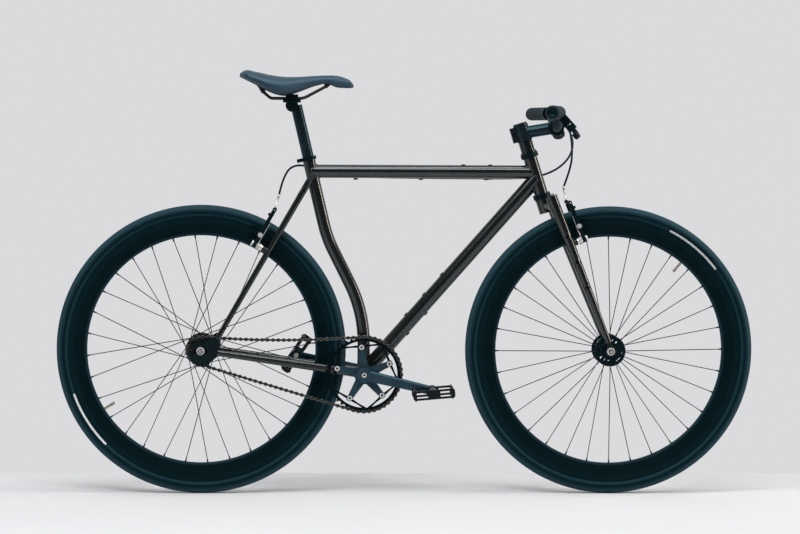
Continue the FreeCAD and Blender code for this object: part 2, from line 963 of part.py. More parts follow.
def axle(name, centre, width, hub_end, plate_thickness):
    """An axle with locknuts inside the dropouts, and washers and nuts outside them."""
    inner = width / 2
    outer = inner + plate_thickness
    washer_end = outer + d.washer_thickness
    nut_end = washer_end + d.nut_length
    tip = number(nut_end + d.axle_tail)
    radius = d.axle_diameter / 2
    bar = rod(name + "_bar", radius, centre - Y_AXIS * tip, centre + Y_AXIS * tip)

    def at(amount):
        return centre - Y_AXIS * float(amount)

    locknut = ring(name + "_locknut", d.locknut_radius, radius, at(hub_end + d.part_gap), at(inner))
    washer = ring(name + "_washer", d.washer_radius, radius, at(outer), at(washer_end))
    hexagon = doc.addObject("Part::Prism", name + "_hexagon")
    hexagon.Polygon = 6
    bind(hexagon, "Circumradius", d.nut_across_flats / math.sqrt(3))
    bind(hexagon, "Height", d.nut_length)
    hexagon.Placement = FreeCAD.Placement(at(washer_end), along(-Y_AXIS))
    nut = cut(name + "_nut", hexagon, rod(name + "_nut_bore", radius, at(washer_end), at(nut_end)))
    sides = [bar]
    for piece in (locknut, washer, nut):
        sides += [piece, mirrored(piece.Name + "_twin", piece)]
    return node(group(name, *sides), name)


front_hub_end = d.front_hub_width / 2 - d.locknut_length
rear_hub_end = d.rear_hub_width / 2 - d.locknut_length
cog_inner = d.chain_line - d.tooth_thickness / 2
cog_outer = d.chain_line + d.tooth_thickness / 2

tyre("front_tyre", front)
inner_tube("front_inner_tube", front, FRONT_VALVE_ANGLE)
rim("front_rim", front, FRONT_VALVE_ANGLE)
spokes("front_spokes", front, d.front_flange_spacing, FRONT_SPOKE_ANGLE, 0)
hub("front_hub", front, d.front_flange_spacing, front_hub_end, front_hub_end, d.hub_cap_radius)
axle("front_axle", front, d.front_hub_width, front_hub_end, d.fork_plate_thickness)
tyre("rear_tyre", rear)
inner_tube("rear_inner_tube", rear, REAR_VALVE_ANGLE)
rim("rear_rim", rear, REAR_VALVE_ANGLE)
spokes("rear_spokes", rear, d.rear_flange_spacing, REAR_SPOKE_ANGLE, CROSSINGS)
hub("rear_hub", rear, d.rear_flange_spacing, rear_hub_end, rear_hub_end, d.cog_seat_radius)
axle("rear_axle", rear, d.rear_hub_width, rear_hub_end, d.dropout_thickness)


# Chain drive
def tooth_gap(teeth):
    """The gap between two teeth, on the x axis: a round roller seat and two leaning flanks."""
    pitch = d.chain_pitch / (2 * math.sin(math.pi / teeth))
    seat = d.roller_seat / 2
    bottom = pitch - seat
    flank_x = pitch - seat * 0.5
    flank_y = seat * math.sin(math.radians(60))
    mouth_x = pitch + d.tooth_height * 2
    mouth_y = flank_y + (mouth_x - flank_x) * math.tan(math.radians(30))
    return [
        (mouth_x, -mouth_y), (mouth_x, mouth_y), (flank_x, flank_y),
        (bottom, 0, seat, 1), (flank_x, -flank_y, seat, 1),
    ]


def toothed(name, teeth, inner):
    """A toothed ring as thick as its teeth, with a round hole of the inner radius."""
    tip = d.chain_pitch / (2 * math.sin(math.pi / teeth)) + d.tooth_height
    body = plate(name, d.tooth_thickness, Hole(0, 0, tip), Hole(0, 0, inner))
    gap = pocket(body, "XY_Plane", d.tooth_thickness, tooth_gap(teeth))
    repeat(body, gap, teeth)
    return body


def rolled(pins, centre, teeth):
    """The angle of a pin that lies on the sprocket about a centre."""
    radius = pitch_radius(teeth)
    for pin in pins:
        arm = pin - centre
        if abs(arm.Length - radius) < 1e-3:
            return math.degrees(math.atan2(arm.y, arm.x))


pins = chain_pins(axle_distance)[0]
cog_phase = rolled(pins, Vector(0, 0, 0), COG_TEETH) + chain_slope
ring_phase = rolled(pins, Vector(axle_distance, 0, 0), RING_TEETH) + chain_slope
chain_frame = side_view(rear, chain_slope)


def chain():
    """Alternate inner and outer links: two plates each, with a roller on every pin."""
    inner_face = number(d.chain_inner_width) / 2
    thick = number(d.plate_thickness)
    height = number(d.plate_height)
    roller = number(d.roller_diameter) / 2
    shelf = number(d.seat_gap) / 2
    pieces = []
    for i, pin in enumerate(pins):
        after = pins[(i + 1) % len(pins)]
        direction = (after - pin).normalize()
        up = Vector(-direction.y, direction.x, 0)
        half = height / 2
        outline = []
        for end, sign in ((pin, -1), (after, 1)):
            for reach, lift in ((0.35, -sign), (1, -0.35 * sign), (1, 0.35 * sign), (0.35, sign)):
                outline.append(end + direction * sign * half * reach + up * half * lift)
        face = inner_face if i % 2 else inner_face + thick + shelf
        for base in (face, -face - thick):
            wire = Part.makePolygon([p + Z_AXIS * base for p in outline + outline[:1]])
            pieces.append(Part.Face(wire).extrude(Z_AXIS * thick))
        corners = []
        for corner in range(SPOKE_SIDES + 1):
            angle = 2 * math.pi * corner / SPOKE_SIDES
            corners.append(pin + direction * roller * math.cos(angle) + up * roller * math.sin(angle))
        low = Vector(0, 0, shelf - inner_face)
        wire = Part.makePolygon([p + low for p in corners])
        pieces.append(Part.Face(wire).extrude(Z_AXIS * 2 * (inner_face - shelf)))
    piece = coded("chain", Part.makeCompound(pieces))
    offset = FreeCAD.Placement(Vector(0, 0, number(d.chain_line)), FreeCAD.Rotation())
    piece.Placement = chain_frame * offset
    return node(piece, "chain")


def sideways(name, radius, centre, start, end):
    """A rod across the bicycle, from one distance to the drive side of a point to another."""
    return rod(name, radius, at_side(centre, start), at_side(centre, end))


def at_side(centre, amount):
    """A point beside a centre, towards the drive side."""
    return centre - Y_AXIS * float(amount)


def rear_cog():
    """The fixed cog on the hub's thread, held by its lockring."""
    cog = toothed("cog_teeth", COG_TEETH, d.cog_seat_radius)
    cog.Placement = side_view(at_side(rear, cog_inner), cog_phase)
    boss = ring("cog_boss", d.cog_boss_radius, d.cog_seat_radius,
                at_side(rear, cog_inner - d.lockring_width), at_side(rear, cog_inner))
    lockring = ring("cog_lockring", d.lockring_radius, d.cog_seat_radius,
                    at_side(rear, cog_outer), at_side(rear, cog_outer + d.lockring_width))
    return node(group("rear_cog", fuse("cog_body", cog, boss), lockring), "rear_cog")


def ring_bolt_angles():
    step = 360 / SPIDER_ARMS
    return [number(d.crank_angle) + step * (k + 0.5) for k in range(SPIDER_ARMS)]


def chainring():
    """Sets the ring so that its teeth meet the chain and its tabs meet the spider arms."""
    teeth = toothed("ring_teeth", RING_TEETH, d.ring_rim_inner)
    teeth.Placement = side_view(at_side(bracket, cog_inner), ring_phase)
    bolt = d.ring_bolt_circle / 2
    tab = d.ring_tab_radius
    strut_end = d.ring_rim_inner + d.ring_strut_width / 2
    reach = 180 / SPIDER_ARMS * 0.92
    spread = math.degrees(number(d.ring_strut_width) / number(strut_end))
    web = doc.addObject("PartDesign::Body", "ring_web")
    outline = [
        polar(strut_end, reach), polar(strut_end, reach - spread),
        (bolt + tab * 0.5, tab), (bolt + tab, tab * 0.4),
        (bolt + tab, -tab * 0.4), (bolt + tab * 0.5, -tab),
        polar(strut_end, spread - reach), polar(strut_end, -reach),
        (bolt, -tab), (bolt - tab, -tab * 0.4), (bolt - tab, tab * 0.4), (bolt, tab),
    ]
    feature = pad(web, d.tooth_thickness, outline, Hole(bolt, 0, d.ring_bolt_diameter / 2))
    repeat(web, feature, SPIDER_ARMS)
    web.Placement = side_view(at_side(bracket, cog_inner), ring_bolt_angles()[0])
    return node(fuse("chainring", teeth, web), "chainring")


def crank_point(angle, reach, amount):
    """A point along a crank arm, at a distance to the drive side of the middle plane."""
    return at_side(bracket + spun(reach, angle), amount)


def oval(name, centre, upright, across, height, width):
    """An oval section with flat flanks and round ends, its height along one direction."""
    section = doc.addObject("Sketcher::SketchObject", name)
    end = width / 2
    reach = height / 2 - end
    draw_outline(section, [
        (-reach, -end, end, 1), (reach, -end), (reach + end, 0, end, 1),
        (reach, end, end, 1), (-reach, end), (-reach - end, 0, end, 1),
    ])
    section.Placement = in_frame(centre, upright, across)
    return section


def loft(name, *sections):
    piece = doc.addObject("Part::Loft", name)
    piece.Sections = list(sections)
    piece.Solid = True
    return piece


square_end = d.crank_inner_face + d.crank_boss_length * 0.75
boss_end = d.crank_inner_face + d.crank_boss_length
spider_end = cog_outer + d.spider_thickness


def crank_spindle():
    """A round spindle with a square at each end."""
    half = d.crank_inner_face
    bar = rod("spindle_bar", d.spindle_diameter / 2, at_side(bracket, half), at_side(bracket, -half))
    length = square_end - half
    ends = []
    for side in (1, -1):
        middle = at_side(bracket, side * (half + length / 2))
        ends.append(block("spindle_square", d.spindle_square, d.spindle_square, length,
                          side_view(middle, d.crank_angle)))
    return node(fuse("crank_spindle", bar, *ends), "crank_spindle")


def crank(name, angle, spindle, extra):
    """A drive-side crank arm: boss, tapering oval arm and pedal eye, with extra pieces fused on."""
    upright = spun(1, angle + 90)
    boss = rod(name + "_boss", d.crank_boss_radius,
               crank_point(angle, 0, d.crank_inner_face), crank_point(angle, 0, boss_end))
    eye_inner = d.pedal_face - d.crank_eye_thickness
    eye = rod(name + "_eye", d.crank_eye_radius,
              crank_point(angle, d.crank_length, eye_inner),
              crank_point(angle, d.crank_length, d.pedal_face))
    arm_middle = d.crank_inner_face + d.crank_boss_length / 2
    eye_middle = d.pedal_face - d.crank_eye_thickness / 2
    arm = loft(
        name + "_arm",
        oval(name + "_root", crank_point(angle, d.crank_boss_radius * 0.5, arm_middle),
             upright, Y_AXIS, d.crank_arm_width, d.crank_arm_thickness),
        oval(name + "_tip", crank_point(angle, d.crank_length - d.crank_eye_radius * 0.5, eye_middle),
             upright, Y_AXIS, d.crank_tip_width, d.crank_tip_thickness))
    recess = rod(name + "_recess", d.crank_bolt_radius + d.part_gap,
                 crank_point(angle, 0, square_end), crank_point(angle, 0, boss_end + 1))
    thread = rod(name + "_thread", d.pedal_axle_radius,
                 crank_point(angle, d.crank_length, eye_inner),
                 crank_point(angle, d.crank_length, d.pedal_face))
    return cut(name, fuse(name + "_forging", boss, eye, arm, *extra), spindle, recess, thread)


def spider():
    """Five tapering arms that carry the chainring on their inner faces."""
    bolt = d.ring_bolt_circle / 2
    half_root = d.spider_root_width / 2
    half_tip = d.spider_tip_width / 2
    body = doc.addObject("PartDesign::Body", "spider_arms")
    start = d.crank_boss_radius * 0.6
    feature = pad(body, d.spider_thickness, [
        (start, -half_root), (bolt - half_tip, -half_tip), (bolt, -half_tip),
        (bolt + half_tip, 0, half_tip, 1), (bolt, half_tip, half_tip, 1),
        (bolt - half_tip, half_tip), (start, half_root),
    ], Hole(bolt, 0, d.ring_bolt_diameter / 2))
    repeat(body, feature, SPIDER_ARMS)
    body.Placement = side_view(at_side(bracket, cog_outer), ring_bolt_angles()[0])
    disc = rod("spider_disc", d.crank_boss_radius + d.spider_thickness,
               at_side(bracket, cog_outer), at_side(bracket, spider_end))
    return [body, disc]


def crank_bolts():
    """Chainring bolts through the spider and ring, and one bolt at each spindle end."""
    bolts = []
    for angle in ring_bolt_angles():
        foot = bracket + spun(d.ring_bolt_circle / 2, angle)
        head = d.ring_bolt_head_length
        bolts.append(fuse(
            "ring_bolt",
            sideways("ring_bolt_shank", d.ring_bolt_diameter / 2, foot, cog_inner, spider_end),
            sideways("ring_bolt_head", d.ring_bolt_head_radius, foot, spider_end, spider_end + head),
            sideways("ring_bolt_nut", d.ring_bolt_head_radius, foot, cog_inner - head, cog_inner)))
    for side in (1, -1):
        bolts.append(rod("spindle_bolt", d.crank_bolt_radius, at_side(bracket, side * square_end),
                         at_side(bracket, side * (square_end + d.crank_bolt_length))))
    return node(group("crank_bolts", *bolts), "crank_bolts")


pedal_start = d.pedal_face + d.pedal_offset
pedal_end = pedal_start + d.pedal_width
left_crank_angle = number(d.crank_angle) + 180


def pedal_axle(name, angle):
    """The pedal's axle, screwed into the crank eye, with a collar against it."""
    reach = d.crank_length
    bar = rod(name + "_bar", d.pedal_axle_radius,
              crank_point(angle, reach, d.pedal_face - d.crank_eye_thickness),
              crank_point(angle, reach, pedal_end - d.pedal_plate))
    collar = rod(name + "_collar", d.pedal_collar_radius, crank_point(angle, reach, d.pedal_face),
                 crank_point(angle, reach, pedal_start - d.part_gap))
    return fuse(name, bar, collar)


def pedal(name, angle, tilt):
    """A platform pedal: two windowed end plates, four edge bars and the bearing barrel."""
    centre = crank_point(angle, d.crank_length, pedal_start)
    half_length = d.pedal_length / 2
    half_height = d.pedal_height / 2
    corner = d.pedal_bar
    window_out = half_length - d.pedal_bar * 1.4
    window_in = d.pedal_barrel_radius + d.pedal_bar * 0.6
    window_up = half_height - d.pedal_bar * 0.8
    outline = [
        (-half_length, corner - half_height), (corner - half_length, -half_height, corner, 1),
        (half_length - corner, -half_height), (half_length, corner - half_height, corner, 1),
        (half_length, half_height - corner), (half_length - corner, half_height, corner, 1),
        (corner - half_length, half_height), (-half_length, half_height - corner, corner, 1),
    ]
    windows = []
    for sign in (-1, 1):
        windows.append([
            (sign * window_in, -window_up), (sign * window_out, -window_up),
            (sign * window_out, window_up), (sign * window_in, window_up),
        ])
    pieces = []
    for offset in (0, d.pedal_width - d.pedal_plate):
        end_plate = plate(name + "_plate", d.pedal_plate, outline, *windows)
        end_plate.Placement = side_view(at_side(centre, offset), tilt)
        pieces.append(end_plate)
    frame = side_view(at_side(centre, d.pedal_width / 2), tilt)
    for x_sign in (-1, 1):
        for y_sign in (-1, 1):
            bar_x = x_sign * number(half_length - d.pedal_bar)
            bar_y = y_sign * number(half_height - d.pedal_bar / 2)
            place = Vector(bar_x, bar_y, 0)
            bar = block(name + "_bar", d.pedal_bar, d.pedal_bar, d.pedal_width,
                        frame * FreeCAD.Placement(place, FreeCAD.Rotation()))
            pieces.append(bar)
    pieces.append(rod(name + "_barrel", d.pedal_barrel_radius, centre, at_side(centre, d.pedal_width)))
    bore = rod(name + "_bore", d.pedal_axle_radius + d.running_fit, centre,
               at_side(centre, d.pedal_width - d.pedal_plate + d.running_fit))
    return cut(name, fuse(name + "_cage", *pieces), bore)


chain()
rear_cog()
chainring()
spindle = crank_spindle()
node(crank("crank_right", d.crank_angle, spindle, spider()), "crank_right")
node(mirrored("crank_left", crank("crank_left_source", left_crank_angle, spindle, [])), "crank_left")
crank_bolts()
right_axle = pedal_axle("pedal_axle_right", d.crank_angle)
left_axle = mirrored("pedal_axle_left", pedal_axle("pedal_axle_left_source", left_crank_angle))
node(group("pedal_axles", right_axle, left_axle), "pedal_axles")
node(pedal("pedal_right", d.crank_angle, d.right_pedal_tilt), "pedal_right")
node(mirrored("pedal_left", pedal("pedal_left_source", left_crank_angle, d.left_pedal_tilt)), "pedal_left")


# Bottom bracket and frame tubes
shell_half = d.shell_width / 2
wall = d.tube_wall_thickness
shell_skin = sideways("shell_skin", d.shell_diameter / 2, bracket, shell_half, -shell_half)
shell_bore = sideways("shell_bore", d.shell_bore / 2, bracket, shell_half, -shell_half)
node(cut("bottom_bracket_shell", shell_skin, shell_bore), "bottom_bracket_shell")


def bracket_cup():
    """A threaded cup with its bearing, which runs on the crank spindle."""
    race = d.spindle_diameter / 2 + d.running_fit
    flange = d.cup_flange_width
    cup = turned("bracket_cup", [
        (d.crank_bearing_radius, -d.cup_depth), (d.shell_bore / 2, -d.cup_depth), (d.shell_bore / 2, 0),
        (d.shell_diameter / 2, 0), (d.shell_diameter / 2, flange), (d.crank_bearing_radius, flange),
    ])
    bearing = turned("bracket_bearing", [
        (race, flange - d.crank_bearing_width), (d.crank_bearing_radius, flange - d.crank_bearing_width),
        (d.crank_bearing_radius, flange), (race, flange),
    ])
    for piece in (cup, bearing):
        piece.Placement = side_view(at_side(bracket, shell_half))
    return group("bracket_cup_right", cup, bearing)


node(pair("bottom_bracket_cups", bracket_cup()), "bottom_bracket_cups")


def seat_tube_path():
    """Upright from the bracket, then leaning back behind the low bend, then steeper again."""
    low = Vector(bracket.x, 0, number(d.seat_bend_low))
    high = Vector(low.x, 0, number(d.seat_bend_high))
    high.x -= (high.z - low.z) * math.tan(math.radians(number(d.seat_slope_middle)))
    top = Vector(high.x, 0, number(d.seat_tube_top))
    top.x -= (top.z - high.z) * math.tan(math.radians(number(d.seat_slope_top)))
    return [bracket, low, high, top]


def swept(name, path, radius, start):
    """A round bar swept up a path that leaves its start straight upward."""
    section = doc.addObject("Part::Circle", name + "_section")
    bind(section, "Radius", radius)
    section.Placement = FreeCAD.Placement(start, FreeCAD.Rotation())
    sweep = doc.addObject("Part::Sweep", name)
    sweep.Sections = [section]
    sweep.Spine = (path, ["Edge%d" % (k + 1) for k in range(len(path.Shape.Edges))])
    sweep.Solid = True
    return sweep


seat_points = seat_tube_path()
seat_top = seat_points[3]
seat_up = (seat_points[3] - seat_points[2]).normalize()
seat_path = coded("seat_tube_path", rounded_path(
    seat_points, [number(d.seat_bend_low_radius), number(d.seat_bend_high_radius)]))
seat_skin = swept("seat_tube_skin", seat_path, d.seat_tube_diameter / 2, bracket)
seat_bore = swept("seat_tube_bore", seat_path, d.seat_bore_diameter / 2, bracket)
node(cut("seat_tube", seat_skin, seat_bore, shell_skin), "seat_tube")


def seat_axis(height):
    """The point of the seat tube's upper run at a height."""
    return seat_top + seat_up * ((float(height) - seat_top.z) / seat_up.z)


def boss(name, radius, surface, outward):
    """A threaded boss set through a tube wall: the plug that makes room for it, and the sleeve."""
    inner = surface - outward * number(d.boss_depth)
    outer = surface + outward * number(d.boss_rise)
    plug = rod(name + "_plug", radius, inner, outer)
    return plug, cut(name, plug, rod(name + "_thread", d.boss_thread_diameter / 2, inner, outer))


head_low = on_steerer(d.head_tube_rise)
head_high = on_steerer(d.head_tube_rise + d.head_tube_length)
head_bore_radius = d.head_tube_diameter / 2 - wall
head_skin = rod("head_tube_skin", d.head_tube_diameter / 2, head_low, head_high)
node(cut("head_tube", head_skin, rod("head_tube_bore", head_bore_radius, head_low, head_high)), "head_tube")

top_rear = seat_axis(d.top_tube_height)
top_front = steerer_at_height(d.top_tube_height)
top_radius = d.top_tube_diameter / 2
top_skin = rod("top_tube_skin", top_radius, top_rear, top_front)
top_bore = rod("top_tube_bore", top_radius - wall, top_rear, top_front)
down_top = steerer_at_height(d.down_tube_join_height)
down_along = (down_top - bracket).normalize()
down_over = Vector(-down_along.z, 0, down_along.x)
down_radius = d.down_tube_diameter / 2
down_skin = rod("down_tube_skin", down_radius, bracket, down_top)
down_bore = rod("down_tube_bore", down_radius - wall, bracket, down_top)

top_bosses = []
for k in range(2):
    x = number(d.top_tube_boss_start) + k * number(d.boss_spacing)
    surface = Vector(x, 0, number(d.top_tube_height + top_radius))
    top_bosses.append(boss("top_tube_boss", d.boss_diameter / 2, surface, Z_AXIS))
down_bosses = []
for start, count, outward in ((d.down_tube_boss_start, 3, down_over),
                              (d.down_tube_lower_boss_start, 2, -down_over)):
    for k in range(count):
        reach = number(start) + k * number(d.boss_spacing)
        surface = bracket + down_along * reach + outward * number(down_radius)
        down_bosses.append(boss("down_tube_boss", d.boss_diameter / 2, surface, outward))

top_plugs = [plug for plug, sleeve in top_bosses]
node(cut("top_tube", top_skin, top_bore, head_skin, seat_skin, *top_plugs), "top_tube")
node(cut("down_tube", down_skin, down_bore, head_skin, shell_skin, seat_skin, top_skin,
         *[plug for plug, sleeve in down_bosses]), "down_tube")


# Rear triangle
def rear_dropout():
    """A track end open to the rear, with a lower tab that has two eyelets."""
    slot = d.axle_diameter / 2 + d.axle_slot_clearance
    front_edge = d.dropout_length - d.dropout_tail
    tail = -d.dropout_tail
    high = d.dropout_height / 2
    tab = -high - d.dropout_tab_depth
    slot_end = d.washer_radius
    body = plate("rear_dropout", d.dropout_thickness, [
        (tail, slot), (tail, high * 0.7), (tail * -0.4, high * 0.9), (front_edge * 0.8, high * 1.55),
        (front_edge, high * 1.3), (front_edge, high * -0.25), (front_edge * 0.8, high * -0.75),
        (front_edge * 0.5, high * -1.2), (front_edge * 0.45, tab * 0.88), (front_edge * 0.15, tab),
        (tail * 0.3, tab), (tail * 0.9, -high), (tail, high * -0.7), (tail, -slot),
        (slot_end, -slot), (slot_end + slot, 0, slot, 1), (slot_end, slot, slot, 1),
    ], Hole(5, tab * 0.83, d.boss_thread_diameter / 2), Hole(15.5, tab * 0.75, d.boss_thread_diameter / 2))
    body.Placement = side_view(at_side(rear, d.rear_hub_width / 2))
    return body


dropout = rear_dropout()
dropout_middle = d.rear_hub_width / 2 + d.dropout_thickness / 2
stay_reach = number(d.dropout_length - d.dropout_tail) * 0.9
stay_tip = rear + Vector(stay_reach, -number(dropout_middle), number(d.dropout_height) * 0.62)
stay_top = seat_axis(d.seatstay_top_height) - Y_AXIS * number(d.seatstay_top_spread)
stay_along = (stay_top - stay_tip).normalize()
stay_length = (stay_top - stay_tip).Length
cap_reach = number(d.seatstay_top_diameter) * 1.3


def stay_radius(reach):
    """The seatstay's radius at a distance up from its lower tip."""
    low = number(d.seatstay_tip_diameter) / 2
    return low + (number(d.seatstay_top_diameter) / 2 - low) * reach / stay_length


def seatstay():
    """A tapering stay whose top is cut off to a long oval that faces outward."""
    above = stay_top + stay_along * cap_reach
    skin = taper("seatstay_skin", d.seatstay_tip_diameter / 2, d.seatstay_top_diameter / 2, stay_tip, above)
    hollow_start = stay_tip + stay_along * number(d.dropout_height)
    hollow_end = stay_top - stay_along * number(d.seatstay_top_diameter) * 3
    hollow_tip = d.seatstay_tip_diameter / 2 - wall
    hollow_top = d.seatstay_top_diameter / 2 - wall * 1.5
    hollow = taper("seatstay_hollow", hollow_tip, hollow_top,
                   hollow_start, hollow_end)
    outward = (-Y_AXIS + stay_along * stay_along.y).normalize()
    turn = math.radians(number(d.seatstay_cap_angle))
    facing = outward * math.cos(turn) + stay_along * math.sin(turn)
    across = facing.cross(stay_along).normalize()
    size = number(d.seatstay_top_diameter) * 5
    face_middle = stay_top + facing * (size / 2)
    cap = block("seatstay_cap", size, size, size, in_frame(face_middle, across, facing.cross(across)))
    return skin, cut("seatstay_bar", skin, hollow, cap, seat_skin, top_skin, dropout)


stay_skin, stay = seatstay()


def bridge_reach():
    """How far up the stay the bridge lies, from its clearance to the tyre."""
    start = Vector(stay_tip.x - rear.x, 0, stay_tip.z - rear.z)
    upward = Vector(stay_along.x, 0, stay_along.z)
    distance = number(d.tyre_radius + d.bridge_tyre_gap)
    a = upward.dot(upward)
    b = start.dot(upward)
    return (-b + math.sqrt(b * b - a * (start.dot(start) - distance ** 2))) / a


bridge_end = stay_tip + stay_along * bridge_reach()
bridge_far = Vector(bridge_end.x, -bridge_end.y, bridge_end.z)
bridge_bar = rod("bridge_bar", d.bridge_diameter / 2, bridge_end, bridge_far)
bridge = cut("bridge", bridge_bar, stay_skin, mirrored("stay_skin_twin", stay_skin))


def stay_boss(height):
    reach = (float(height) - stay_tip.z) / stay_along.z
    surface = stay_tip + stay_along * reach - Y_AXIS * stay_radius(reach)
    return boss("stay_boss", d.stay_boss_diameter / 2, surface, -Y_AXIS)


stay_bosses = [stay_boss(d.stay_boss_upper), stay_boss(d.stay_boss_lower)]


def chainstay():
    """A hollow stay, oval at the bottom bracket and round at the dropout."""
    stay_start = bracket + Vector(-number(d.chainstay_width) * 0.6, -number(d.chainstay_root_spread), 1)
    end = rear + Vector(stay_reach, -number(dropout_middle), -number(d.dropout_height) * 0.1)
    direction = (end - stay_start).normalize()
    across = Z_AXIS.cross(direction).normalize()
    upright = direction.cross(across)
    skins = []
    for skin, less in (("skin", 0), ("hollow", wall * 2)):
        name = "chainstay_" + skin
        root = oval(name + "_root", stay_start, upright, across,
                    d.chainstay_height - less, d.chainstay_width - less)
        tip = oval(name + "_tip", end, upright, across,
                   d.chainstay_tip_height - less, d.chainstay_tip_width - less)
        skins.append(loft(name, root, tip))
    return cut("chainstay_bar", *skins, shell_skin, dropout)


node(pair("chainstays", chainstay()), "chainstays")
node(pair("rear_dropouts", dropout), "rear_dropouts")


# Rim brakes
class Brake:
    """Where a brake sits: its studs stand off a stay or blade, whose direction is up the arm."""

    def __init__(self, foot, up, away, wheel):
        self.up = up
        self.away = away
        self.base = foot
        self.pivot = foot + away * number(d.brake_stand_off)
        rel = self.pivot - wheel
        self.rise = rel.dot(up)
        self.ahead = rel.dot(away)
        track_radius = number(d.rim_outer_radius - d.pad_inset)
        self.pad_height = math.sqrt(track_radius ** 2 - self.ahead ** 2) - self.rise
        self.lateral = up.cross(away)

    def at(self, out, up, ahead=0.0):
        """A point outward of the middle plane, up the arm and ahead of it."""
        return self.pivot + self.lateral * float(out) + self.up * float(up) + self.away * float(ahead)


def flat(direction):
    """A direction without its sideways part."""
    return Vector(direction.x, 0, direction.z).normalize()


blade_tip = on_steerer(d.blade_tip_rise, d.blade_tip_offset, -number(d.blade_tip_spread))
blade_top = on_steerer(d.blade_top_rise, d.blade_top_offset, -number(d.blade_top_spread))
blade_along = (blade_top - blade_tip).normalize()
blade_flat = flat(blade_along)
stay_flat = flat(stay_along)
front_foot = Vector(blade_tip.x, 0, blade_tip.z) + blade_flat * number(d.front_stud_rise)
rear_foot = Vector(stay_tip.x, 0, stay_tip.z) + stay_flat * number(d.rear_stud_rise)
front_brake = Brake(front_foot, blade_flat, Vector(blade_flat.z, 0, -blade_flat.x), front)
rear_brake = Brake(rear_foot, stay_flat, Vector(-stay_flat.z, 0, stay_flat.x), rear)


def brake_stud(name, brake, holder):
    """A stud on a round base that grows out of the stay or blade, with its bolt head."""
    spread = brake.lateral * number(d.brake_stud_spread)
    half = d.brake_arm_thickness / 2
    foot = brake.base + spread
    seat = brake.pivot + spread - brake.away * number(half + d.part_gap)
    end = brake.pivot + spread + brake.away * number(half + d.part_gap)
    head_end = end + brake.away * number(d.brake_bolt_head)
    base = cut(name + "_base", rod(name + "_column", d.brake_stud_base_radius, foot, seat), holder)
    return fuse(name, base, rod(name + "_pin", d.brake_stud_radius, seat, end),
                rod(name + "_head", d.brake_bolt_radius, end, head_end))


def brake_arm(name, brake, carrier_bore, pinch):
    """A long arm with its pad, pad post and the carrier that holds the cable's end."""
    half = d.brake_arm_thickness / 2
    spread = d.brake_stud_spread
    lean = d.brake_arm_lean
    half_root = d.brake_arm_width / 2
    half_tip = d.brake_arm_tip_width / 2
    length = d.brake_arm_length
    bar = plate(name + "_bar", d.brake_arm_thickness, [
        (-half_root, 0), (half_root, 0), (half_root + lean * 0.6, length * 0.5),
        (lean + half_tip, length), (lean - half_tip, length), (lean * 0.6 - half_root, length * 0.5),
    ])
    bar.Placement = in_frame(brake.at(spread, 0, -half), brake.lateral, brake.up)
    eye = rod(name + "_eye", d.brake_boss_radius, brake.at(spread, 0, -half), brake.at(spread, 0, half))
    bore = rod(name + "_bore", d.brake_stud_radius + d.running_fit,
               brake.at(spread, 0, -half), brake.at(spread, 0, half))
    carrier = rod(name + "_carrier", d.carrier_radius, brake.at(spread + lean - half_tip, d.carrier_rise),
                  brake.at(spread + lean + half_tip, d.carrier_rise))
    passage = rod(name + "_passage", carrier_bore, brake.at(spread + lean - half_root, d.carrier_rise),
                  brake.at(spread + lean + half_root, d.carrier_rise))
    height = brake.pad_height
    face = d.rim_width / 2 + d.pad_gap
    pad_back = face + d.pad_thickness
    radial = (brake.up * (brake.rise + height) + brake.away * brake.ahead).normalize()
    pad_block = block(name + "_pad", d.pad_thickness, d.pad_height, d.pad_length,
                      in_frame(brake.at(face + d.pad_thickness / 2, height), brake.lateral, radial))
    nut_end = spread + half_root + lean + d.pad_post_radius
    washer_end = spread - half_root + d.pad_post_radius
    hardware = fuse(
        name + "_post",
        rod(name + "_post_bar", d.pad_post_radius, brake.at(pad_back, height), brake.at(nut_end, height)),
        rod(name + "_washer", d.pad_washer_radius,
            brake.at(pad_back + d.pad_post_radius, height), brake.at(washer_end, height)),
        rod(name + "_nut", d.pad_washer_radius * 0.8,
            brake.at(nut_end - d.pad_post_radius * 1.5, height), brake.at(nut_end, height)))
    forging = fuse(name + "_forging", bar, eye, carrier)
    pieces = [cut(name + "_arm", forging, bore, passage, hardware), pad_block, hardware]
    if pinch:
        bolt_rise = length - d.brake_arm_tip_width
        bolt = rod(name + "_pinch_bolt", d.pad_post_radius * 1.2, brake.at(spread + lean, bolt_rise, half),
                   brake.at(spread + lean, bolt_rise, half + d.brake_bolt_head))
        pieces.append(bolt)
    return group(name, *pieces)


noodle_bore = d.noodle_diameter / 2 + d.part_gap * 2
wire_bore = d.wire_diameter / 2 + d.part_gap * 2

front_pinch_arm = brake_arm("front_pinch_arm", front_brake, wire_bore, True)
node(mirrored("brake_arm_front_right", front_pinch_arm), "brake_arm_front_right")
node(brake_arm("brake_arm_front_left", front_brake, noodle_bore, False), "brake_arm_front_left")
node(brake_arm("brake_arm_rear_right", rear_brake, wire_bore, True), "brake_arm_rear_right")
rear_noodle_arm = brake_arm("rear_noodle_arm", rear_brake, noodle_bore, False)
node(mirrored("brake_arm_rear_left", rear_noodle_arm), "brake_arm_rear_left")

stay_plugs = [plug for plug, sleeve in stay_bosses]
trimmed_stay = cut("seatstay", stay, *stay_plugs)
node(group("seatstays", trimmed_stay, mirrored("seatstay_twin", trimmed_stay), bridge), "seatstays")


tube_front = steerer_at_height(d.top_tube_height).x
tube_rear = seat_axis(d.top_tube_height).x


